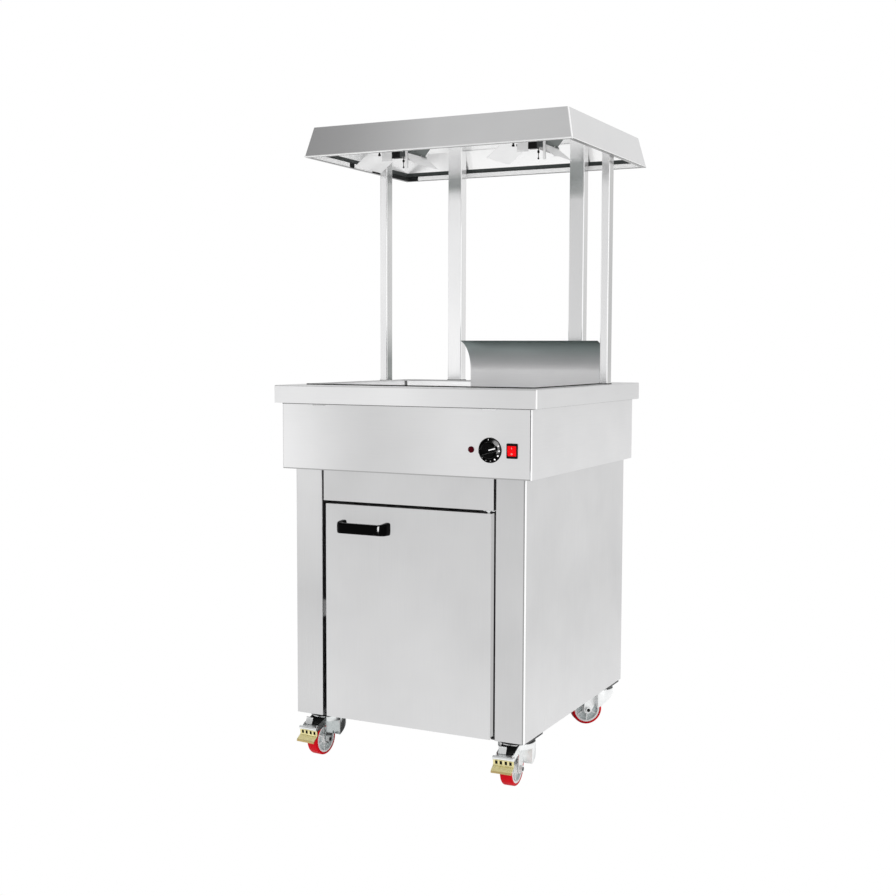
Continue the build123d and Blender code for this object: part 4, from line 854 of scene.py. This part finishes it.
# Each tube's front and side take lit and shaded tones of the steel, as painted light and shade.
post_painted_tones = {"left_post": (0.84, 0.70), "right_post": (0.99, 0.58), "back_left_post": (0.97, 0.86),
              "back_right_post": (0.84, 0.70)}
post_painted_reflections = {
    "left_post": ((0.01, 0.45), (0.09, 0.45), (0.15, 0.72), (0.24, 1.0), (0.70, 1.0), (0.78, 0.74),
                  (0.86, 0.74), (0.96, 0.95)),
    "back_left_post": ((0.78, 1.0), (0.81, 0.92), (0.84, 0.50), (0.875, 0.55), (0.90, 0.85), (0.93, 1.0)),
    "back_right_post": ((0.76, 1.0), (0.79, 0.62), (0.85, 0.42), (0.91, 0.48), (0.935, 0.85), (1.0, 1.0)),
}
green_share = 0.94
blue_share = 0.96
dull_share = 0.93
for post, (front_tone, side_tone) in post_painted_tones.items():
    low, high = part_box(post)
    dull_tone = dull_share * front_tone
    post_steel = brushed_steel(f"{post}_steel", grain_up, front_tone, dull_tone, smooth=0.12, rough=0.22)
    post_side = turned_to(post_steel, "X")
    overlay(post_steel, post_side, side_tone)
    if post in post_painted_reflections:
        # A dark stretch stands for what the tube mirrors, and is a little greener than the rest.
        post_marks = [(share, (tone, tone ** green_share, tone ** blue_share))
                      for share, tone in post_painted_reflections[post]]
        shaded = post_side if post == "left_post" else turned_to(post_steel, "Y", -1)
        shade_along(post_steel, "Z", low.z, high.z, post_marks, where=shaded)
    paint_bend_highlight(post_steel, high.x, low.y, side_width=0.0040, strength=0.04)
    dress(post, post_steel, ease=0.0003)
    bead = dark_band_ring(low, high, low.z, height=0.0022, wide=0.0014, corner=0.0028)
    finish_piece(bead, f"{post}_sealant", post_foot_shadow, "cabinet")
dress("post_bolts", bolt_zinc, ease=0.0012)

# Hood: a folded and welded stainless shade with sloping sides, and a gutter turned in round its lower edge.
# It hangs on the tops of the posts, is brushed along its length, and has a hem rolled round its foot.
# The lip inside is painted white with a glow as light, and the gap between gutter and wall is a strip
# painted dark as shade.


def first_seen(tree):
    """A mask that is set where a finish is seen directly, and not in a reflection."""
    return add_node(tree, "LightPath").outputs["Is Camera Ray"]


hood_steel = brushed_steel("hood_steel", grain_along, 0.904, 0.859, smooth=0.16, rough=0.24)
hood_tree = hood_steel.node_tree
hood_low, hood_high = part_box("hood")
# The hood is painted darker towards both ends, most at the left, as shade.
hood_painted_shade = [(0.15, 0.80), (0.50, 1.0), (0.85, 0.865), (1.0, 0.85)]
shade_along(hood_steel, "X", hood_low.x, hood_high.x, hood_painted_shade)
from_middle = reckon_vector("SUBTRACT", place_on(hood_steel), (hood_low + hood_high) / 2)
hood_inside = reckon("LESS_THAN", reckon_vector("DOT_PRODUCT", facing(hood_tree), from_middle), 0.0)
lip_height = 0.0124
hem_height = 0.0010
corner_width = 0.0420
corner_notch = (0.0080, 0.0320)
corner_back = 0.1250
hood_lip = all_of(region(hood_steel, Z=(None, hood_low.z + lip_height)), hood_inside)
lip_shade_span = reckon("MAXIMUM", region(hood_steel, Y=(corner_back, None)), region(hood_steel, Y=corner_notch))
hood_corner_shade = region(hood_steel, X=(None, hood_low.x + corner_width))
hood_corner_shade = all_of(hood_corner_shade, hood_lip, lip_shade_span, first_seen(hood_tree))
# Painted light and shade: the inside a flat brighter tone, the lip white, the back left corner of the lip
# near black where seen directly, and the hem's foot dark.
overlay(hood_steel, hood_inside, 0.96)
overlay(hood_steel, hood_lip, 1.0)
overlay(hood_steel, hood_corner_shade, (0.02, 0.022, 0.022))
overlay(hood_steel, region(hood_steel, Z=(None, hood_low.z + hem_height)), 0.06)
lay_over(hood_steel, "FLOAT", "Roughness", hood_inside, 0.24)
lay_over(hood_steel, "FLOAT", "Roughness", hood_lip, 0.60)
hood_lip_glow = all_of(hood_lip, outside(hood_corner_shade))

wall_set_back = 0.0170
wall_rise = 0.0740
wall_lean = wall_set_back / wall_rise
fold_side = 0.0020
fold_front = 0.0050
hood_lean = reckon("MULTIPLY", reckon("SUBTRACT", along(hood_steel, "Z"), hood_low.z), wall_lean)
to_right = reckon("ADD", along(hood_steel, "X"), hood_lean)
to_front = reckon("SUBTRACT", along(hood_steel, "Y"), hood_lean)
hood_fold_highlight = all_of(reckon("GREATER_THAN", to_right, hood_high.x - fold_side),
                   reckon("LESS_THAN", to_front, hood_low.y + fold_front))
# A white line with a glow is painted on the front right fold, as a highlight.
overlay(hood_steel, hood_fold_highlight, 1.0)
lift(hood_steel, reckon("MAXIMUM", hood_lip_glow, hood_fold_highlight), strength=0.12)
dress("hood", hood_steel, ease=0.0008)

gap_foot = 0.0120
gap_head = 0.0230
gap_sheet = 0.0005
foot_inset = steel_sheet + wall_lean * gap_foot
head_inset = steel_sheet + wall_lean * gap_head
foot_z = hood_low.z + gap_foot
head_z = hood_low.z + gap_head
gap_outline = [(foot_inset, foot_z), (head_inset, head_z), (head_inset + gap_sheet, head_z),
               (foot_inset + gap_sheet, foot_z)]
# The liner gap is a strip painted near black as shade where seen directly, pale in reflections and near the
# front left.
gap_painted_shade = uneven_finish("gap_painted_shade", (0.07, 0.08, 0.078), (0.03, 0.035, 0.034), 0.35, 0.5, cloud=14,
                         specular=0.2)
overlay(gap_painted_shade, outside(first_seen(gap_painted_shade.node_tree)), 0.8)
gap_pale_width = 0.0300
gap_pale_front = -0.1700
overlay(gap_painted_shade, region(gap_painted_shade, X=(None, hood_low.x + gap_pale_width), Y=(None, gap_pale_front)), 0.85)
gap_shade_band = ring_band(hood_low, hood_high, gap_outline)
finish_piece(gap_shade_band, "hood_liner_gap_shade", gap_painted_shade, "cabinet")

hem_curve = [(0.0016, 0.0), (0.0004, 0.0004), (0.0, 0.0014), (0.0, 0.0026), (0.0006, 0.0036),
             (0.0016, 0.0040)]
hem_outline = [(inset, hood_low.z + rise) for inset, rise in hem_curve]
hem_steel = uneven_finish("hem_steel", 0.99, 0.93, 0.3, 0.42, cloud=30, metallic=1.0)
hem_proud = 0.0012
hem_low = hood_low - Vector((0, hem_proud, 0))
hem = ring_band(hem_low, hood_high, hem_outline)
finish_piece(hem, "hood_hem", hem_steel, "cabinet", smooth=60)

# Heat lamps: bright folded reflectors on zinc hangers, each with a black ceramic holder at its front end.
# Holder and rear clip carry a clear quartz tube with a coiled filament on its axis.
# Studs for the wires hang under the terminal blocks, and screws under the reflectors' front ends.
mirror_sheet = uneven_finish("mirror_sheet", 0.98, 0.92, 0.40, 0.50, cloud=15, metallic=1.0)
for trough in ("left_reflector", "right_reflector"):
    dress(trough, mirror_sheet, ease=0.0003)
hanger_sheet = uneven_finish("hanger_sheet", 0.98, 0.90, 0.3, 0.42, cloud=60, metallic=1.0)
# The hangers' side walls are painted near black as shade, only where seen directly.
hanger_ends = reckon("MAXIMUM", turned_to(hanger_sheet, "Y"), turned_to(hanger_sheet, "Y", -1))
hanger_wall_shade = all_of(outside(hanger_ends), first_seen(hanger_sheet.node_tree))
overlay(hanger_sheet, hanger_wall_shade, (0.12, 0.135, 0.13))
dress("lamp_hangers", hanger_sheet, ease=0.0004)


def lamp_ceramic(name):
    return uneven_finish(name, 0.006, 0.003, 0.3, 0.5, cloud=150, specular=0.15)


ceramic_black = lamp_ceramic("ceramic_black")
holder_black = lamp_ceramic("holder_black")
terminal_middle = 0.0595
terminal_reach = 0.1800
terminal_half = 0.0076
from_terminals = reckon("ABSOLUTE", reckon("SUBTRACT", along(holder_black, "X"), terminal_middle))
terminals = reckon("COMPARE", from_terminals, terminal_reach, terminal_half)
overlay(holder_black, terminals, (0.075, 0.08, 0.08))
dress("lamp_holders", holder_black, ease=0.001)

holder_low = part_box("lamp_holders")[0]
stud_outline = [(-0.0010, 0.0), (-0.0010, 0.0009), (0.0065, 0.0009), (0.0072, 0.0024), (0.0100, 0.0029),
                (0.0128, 0.0024), (0.0136, 0.0009), (0.0232, 0.0009), (0.0238, 0.0019), (0.0256, 0.0022),
                (0.0272, 0.0016), (0.0276, 0.0)]
screw_outline = [(-0.0004, 0.0), (-0.0004, 0.0020), (0.0036, 0.0020), (0.0036, 0.0034), (0.0070, 0.0034),
                 (0.0078, 0.0022), (0.0078, 0.0)]
stud_inset = 0.0040
stud_sunk = 0.0025
stud_y = holder_low.y + stud_inset
stud_top_z = holder_low.z + stud_sunk
screw_inset = 0.0080
screw_sunk = 0.0012
screw_shifts = (-0.0060, -0.0170)
rightward = Vector((1, 0, 0))
for lamp, stud_shift in (("left", 0.0605), ("right", 0.0545)):
    trough_low, trough_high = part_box(f"{lamp}_reflector")
    lamp_x = (trough_low.x + trough_high.x) / 2
    stud_top = Vector((lamp_x + stud_shift, stud_y, stud_top_z))
    stud = turned(stud_outline, stud_top, -up, rightward, steps=20)
    finish_piece(stud, f"{lamp}_lamp_terminal_stud", ceramic_black, "cabinet", smooth=40)
    for number, shift in enumerate(screw_shifts, 1):
        screw_top = Vector((lamp_x + shift, trough_low.y + screw_inset, trough_high.z - screw_sunk))
        screw = turned(screw_outline, screw_top, -up, rightward, steps=20)
        finish_piece(screw, f"{lamp}_lamp_screw_{number}", ceramic_black, "cabinet",
                     smooth=40)

quartz, quartz_shader, quartz_place = start_finish("quartz")
haze = spread(noise(quartz_place, 60), first=0.02, last=0.12)
feed(quartz_shader, {"Transmission Weight": 1.0, "IOR": 1.46, "Roughness": haze})
dress("lamp_tubes", quartz)

tube_low, tube_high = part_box("lamp_tubes")
tube_radius = (tube_high.z - tube_low.z) / 2
coil_radius = 0.0021
coil_wire = 0.0004
coil_turns = 44
coil_steps = 12
coil_inset = 0.009
coil_pitch = (tube_high.y - tube_low.y - 2 * coil_inset) / (coil_turns * coil_steps)
coil_tungsten = uneven_finish("coil_tungsten", (0.35, 0.34, 0.33), (0.22, 0.21, 0.2), 0.3, 0.45,
                              metallic=1.0)
for lamp, coil_x in (("left", tube_low.x + tube_radius), ("right", tube_high.x - tube_radius)):
    coil_start = Vector((coil_x, tube_low.y + coil_inset, (tube_low.z + tube_high.z) / 2))
    wire_place = Matrix.Translation(coil_start + rightward * coil_radius)
    coil = bmesh.new()
    wire = bmesh.ops.create_circle(coil, cap_ends=False, segments=6, radius=coil_wire,
                                   matrix=wire_place)["verts"]
    bmesh.ops.spin(coil, geom=wire + coil.edges[:], cent=coil_start, axis=(0, 1, 0), dvec=(0, coil_pitch, 0),
                   angle=math.tau * coil_turns, steps=coil_turns * coil_steps)
    finish_piece(coil, f"{lamp}_lamp_coil", coil_tungsten, "cabinet", smooth=60)

# Controls: a black skirted dial on the thermostat spindle, with a fluted rim and a plain printed scale.
# Beside it are a domed red pilot lamp and a lit red rocker in a black frame, marked with a bar and a ring.
# Dial, lamp and rocker are moulded plastic, and lamp and frame snap into the control panel.
dial_black = uneven_finish("dial_black", 0.00006, 0.00002, 0.14, 0.22, cloud=80, speck=1200, specular=0.012)
dial_centre = Vector(joints["dial_turn"]["pos_m"])
frontward = Vector((0, -1, 0))
pointer_lean = math.radians(15)
dial_axes = Matrix.Translation(dial_centre) @ Matrix.Rotation(math.pi / 2, 4, "X")
dial_axes = dial_axes @ Matrix.Rotation(pointer_lean, 4, "Z")
skirt_radius = 0.0285
flutes = 60
flute_depth = 0.0007
flute_start = 0.0268
skirt_outline = [(0.0003, 0.0034), (0.0003, 0.0280), (0.0014, skirt_radius), (0.0038, 0.0272),
                 (0.0062, 0.0205), (0.0066, 0.0186), (0.0130, 0.0174), (0.0146, 0.0158), (0.0146, 0.0034)]
dial = turned(skirt_outline, dial_centre, frontward, up, steps=2 * flutes)
for v in dial.verts:
    arm = (v.co - dial_centre) * Vector((1, 0, 1))
    step = round(math.atan2(arm.z, arm.x) / (math.pi / flutes))
    if arm.length > flute_start and step % 2:
        v.co -= arm.normalized() * flute_depth
grip_base = 0.0130
grip_top = 0.0237
grip_size = (0.0430, 0.0125, grip_top - grip_base)
grip_shift = 0.0030
grip_end_round = 0.0058
grip_top_round = 0.0014
grip_place = Matrix.Translation((grip_shift, 0, (grip_base + grip_top) / 2))
grip = block(dial, dial_axes @ grip_place, grip_size)
grip_edges = {e for v in grip for e in v.link_edges}
grip_ends = [e for e in grip_edges if abs(e.verts[0].co.y - e.verts[1].co.y) > grip_size[2] / 2]
round_off(dial, grip_ends, grip_end_round, segments=6)
grip_front = min(v.co.y for v in dial.verts) + same_place
grip_rim = [e for e in dial.edges if all(v.co.y < grip_front for v in e.verts)]
round_off(dial, grip_rim, grip_top_round, segments=3)
dial_piece = finish_piece(dial, "thermostat_dial", dial_black, "dial", smooth=35)
dial_piece.visible_glossy = False
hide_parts("control_knob")

mark_white_painted_glow = uneven_finish("mark_white_painted_glow", 1.0, 0.94, 0.4, 0.55, cloud=300)
mark_grey = uneven_finish("mark_grey", 0.42, 0.30, 0.4, 0.55, cloud=300)
# The white marks glow a little, as painted light.
lift(mark_white_painted_glow, colour(1.0), strength=0.35)
mark_thick = 0.0004
pointer_middle = 0.0148
pointer_size = (0.0160, 0.0019, mark_thick)
scale_dots = 8
bright_dots = 4
bright_dot_radius = 0.0018
faint_dot_radius = 0.0012
scale_start = 10
scale_pitch = 27
scale_radius = 0.0236
scale_rise = 0.0051
skirt_slope = math.radians(20)
scale_seat = Matrix.Translation((scale_radius, 0, scale_rise)) @ Matrix.Rotation(skirt_slope, 4, "Y")
top_mark_angle = math.radians(81)
top_mark_turn = Matrix.Rotation(top_mark_angle, 4, "Z")
top_mark_size = (0.003, 0.0010, mark_thick)
dial_marks = bmesh.new()
block(dial_marks, dial_axes @ Matrix.Translation((pointer_middle, 0, grip_top)), pointer_size)
for index in range(scale_dots):
    is_faint = index >= bright_dots
    dot_radius = faint_dot_radius if is_faint else bright_dot_radius
    turn = Matrix.Rotation(math.radians(scale_start - scale_pitch * index), 4, "Z")
    dot_place = dial_axes @ turn @ scale_seat
    dot = bmesh.ops.create_cone(dial_marks, cap_ends=True, segments=16, radius1=dot_radius,
                                radius2=dot_radius, depth=mark_thick, matrix=dot_place)["verts"]
    for face in {f for v in dot for f in v.link_faces}:
        face.material_index = int(is_faint)
block(dial_marks, dial_axes @ top_mark_turn @ scale_seat, top_mark_size)
piece = finish_piece(dial_marks, "dial_scale", mark_white_painted_glow, "dial")
piece.data.materials.append(mark_grey)
dress("thermostat_spindle", bolt_zinc)
dress("thermostat_body", gland_black, ease=0.001)

pilot_red = uneven_finish("pilot_red", (0.11, 0.0005, 0.006), (0.05, 0.0003, 0.003), 0.1, 0.2, cloud=200,
                          specular=0.03)
pilot_low, pilot_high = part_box("indicator_lamp")
panel_y = dial_centre.y
pilot_radius = (pilot_high.x - pilot_low.x) / 2
pilot_centre = Vector(((pilot_low.x + pilot_high.x) / 2, panel_y, (pilot_low.z + pilot_high.z) / 2))
pilot_tail = panel_y - pilot_high.y
tail_radius = 0.0050
rim_rise = 0.0018
rim_edge = 0.0011
rim_ease = 0.0008
dome_radius = 0.0060
dome_rise = panel_y - pilot_low.y - rim_rise
dome_steps = 8
pilot_outline = [(pilot_tail, 0.0), (pilot_tail, tail_radius), (0.0, tail_radius), (0.0, pilot_radius),
                 (rim_edge, pilot_radius), (rim_rise, pilot_radius - rim_ease)]
for step in range(dome_steps + 1):
    lean = math.pi / 2 * step / dome_steps
    pilot_outline.append((rim_rise + dome_rise * math.sin(lean), dome_radius * math.cos(lean)))
pilot = turned(pilot_outline, pilot_centre, frontward, up, steps=40)
piece = finish_piece(pilot, "pilot_lens", pilot_red, "cabinet", smooth=35)
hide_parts("indicator_lamp")

frame_black = uneven_finish("frame_black", 0.007, 0.003, 0.3, 0.45, specular=0.1)
dress("switch_frame", frame_black, ease=0.0006)
rocker_red = uneven_finish("rocker_red", (0.95, 0.003, 0.006), (0.60, 0.001, 0.003), 0.08, 0.18, cloud=330,
                           specular=0.08)
lift(rocker_red, colour((1.0, 0.002, 0.006)), strength=0.3)
dress("switch_rocker", rocker_red, ease=0.0006)
mark_pink = uneven_finish("mark_pink", (0.95, 0.62, 0.58), (0.85, 0.5, 0.46), 0.3, 0.4, cloud=300)
rocker_low, rocker_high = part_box("switch_rocker")
rocker_x = (rocker_low.x + rocker_high.x) / 2
rocker_z = (rocker_low.z + rocker_high.z) / 2
legend_rise = 0.0062
bar_size = (0.0010, 0.0006, 0.0034)
ring_outline = [(0.0, 0.0010), (0.0, 0.0018), (0.0006, 0.0018), (0.0006, 0.0010)]
rocker_slope = 0.17
ring_sunk = 0.0014
bar_sunk = 0.0003
ring_axis = Vector((0, -1, -rocker_slope)).normalized()
ring_centre = Vector((rocker_x, rocker_low.y + ring_sunk, rocker_z - legend_rise))
bar_place = Matrix.Translation((rocker_x, rocker_low.y + bar_sunk, rocker_z + legend_rise))
legends = bmesh.new()
block(legends, bar_place, bar_size)
add_to(legends, turned(ring_outline, ring_centre, ring_axis, rightward, steps=24))
finish_piece(legends, "rocker_legends", mark_pink, "rocker")

# Stage: a pale floor, a bright room that is dimmer high up at the front left, and the photograph's camera.
# Seen by the camera, floor and room are plain white. What the steel mirrors is a little darker and uneven.
# One area light shines on the black handle and dial alone, for their highlights.
scene = bpy.context.scene
floor_reach = 30
shadow_half = (0.18, 0.20, 0)
shadow_fade = 0.20
shadow_level = 0.06
floor = bmesh.new()
bmesh.ops.create_grid(floor, x_segments=1, y_segments=1, size=floor_reach)
floor_mesh = bpy.data.meshes.new("studio_floor")
floor.to_mesh(floor_mesh)
floor.free()
floor_object = bpy.data.objects.new("studio_floor", floor_mesh)
scene.collection.objects.link(floor_object)
floor_pale, floor_shader, floor_place = start_finish("floor_pale")
# The floor's glow is painted darker under the cupboard, as its shadow in what the steel mirrors.
past_edge = reckon_vector("SUBTRACT", reckon_vector("ABSOLUTE", floor_place), shadow_half)
away = reckon_vector("LENGTH", reckon_vector("MAXIMUM", past_edge, (0, 0, 0)))
fade = spread(away, high=shadow_fade, first=shadow_level, blend="SMOOTHSTEP")
floor_glow = mix("FLOAT", first_seen(floor_pale.node_tree), fade, 1.0)
feed(floor_shader, {"Base Color": colour(0.0), "Specular IOR Level": 0.0, "Emission Color": colour(1.0),
                    "Emission Strength": floor_glow})
floor_mesh.materials.append(floor_pale)

room = bpy.data.worlds.new("studio_room")
room.use_nodes = True
scene.world = room
air = room.node_tree
backdrop = air.nodes["Background"]
look = add_node(air, "TexCoord").outputs["Generated"]


def facing_patch(direction, start, end, around, inside):
    """A value that runs from one level to another as the view turns towards a direction."""
    toward = reckon_vector("DOT_PRODUCT", look, Vector(direction).normalized())
    return spread(toward, start, end, around, inside, "SMOOTHSTEP")


walls = facing_patch((0, -1, 0), -1.0, 1.0, 0.78, 0.70)
dim_corner = facing_patch((-0.75, -0.5, 0.45), 0.90, 0.985, 1.0, 0.3)
left_box = facing_patch((-0.72, -0.69, -0.05), 0.89, 0.985, 0.0, 0.48)
back_light = facing_patch((0.42, 0.80, 0.45), 0.85, 0.98, 0.0, 0.14)
side_light = facing_patch((0.9, -0.43, 0.15), 0.88, 0.99, 0.0, 0.7)
glow = reckon("MULTIPLY", walls, dim_corner)
for patch in (left_box, side_light, back_light):
    glow = reckon("ADD", glow, patch)
feed(backdrop, {"Color": colour(1.0), "Strength": mix("FLOAT", first_seen(air), glow, 1.0)})
scene.view_settings.view_transform = "Standard"

glint = bpy.data.lights.new("glint_light", "AREA")
glint.shape = "RECTANGLE"
glint.size = 1.0
glint.size_y = 1.9
glint.energy = 1900
glint_place = Vector((0.28, -2.80, 1.10))
glint_aim = Vector((0, -0.34, 0.66))
glint_object = bpy.data.objects.new("glint_light", glint)
glint_object.matrix_world = (glint_aim - glint_place).to_track_quat("-Z", "Y").to_matrix().to_4x4()
glint_object.matrix_world.translation = glint_place
glint_object.visible_camera = False
scene.collection.objects.link(glint_object)
glossy_pieces = bpy.data.collections.new("glossy_pieces")
for piece in (bow_piece, dial_piece):
    glossy_pieces.objects.link(piece)
glint_object.light_linking.receiver_collection = glossy_pieces

yaw = math.radians(26.419)
pitch = math.radians(-4.386)
roll = math.radians(0.195)
camera_place = Vector((1.4097, -2.9362, 0.9887))
focal_pixels = 1304.1
picture_pixels = 896
sensor_mm = 36
ahead = Vector((-math.sin(yaw) * math.cos(pitch), math.cos(yaw) * math.cos(pitch), math.sin(pitch)))
right = Vector((math.cos(yaw), math.sin(yaw), 0))
above = right.cross(ahead)
right_rolled = math.cos(roll) * right + math.sin(roll) * above
above_rolled = -math.sin(roll) * right + math.cos(roll) * above
camera = bpy.data.cameras.new("photo_camera")
camera.sensor_width = sensor_mm
camera.lens = sensor_mm * focal_pixels / picture_pixels
camera.clip_end = 100
camera_object = bpy.data.objects.new("photo_camera", camera)
camera_object.matrix_world = Matrix((right_rolled, above_rolled, -ahead)).transposed().to_4x4()
camera_object.matrix_world.translation = camera_place
scene.collection.objects.link(camera_object)
scene.camera = camera_object
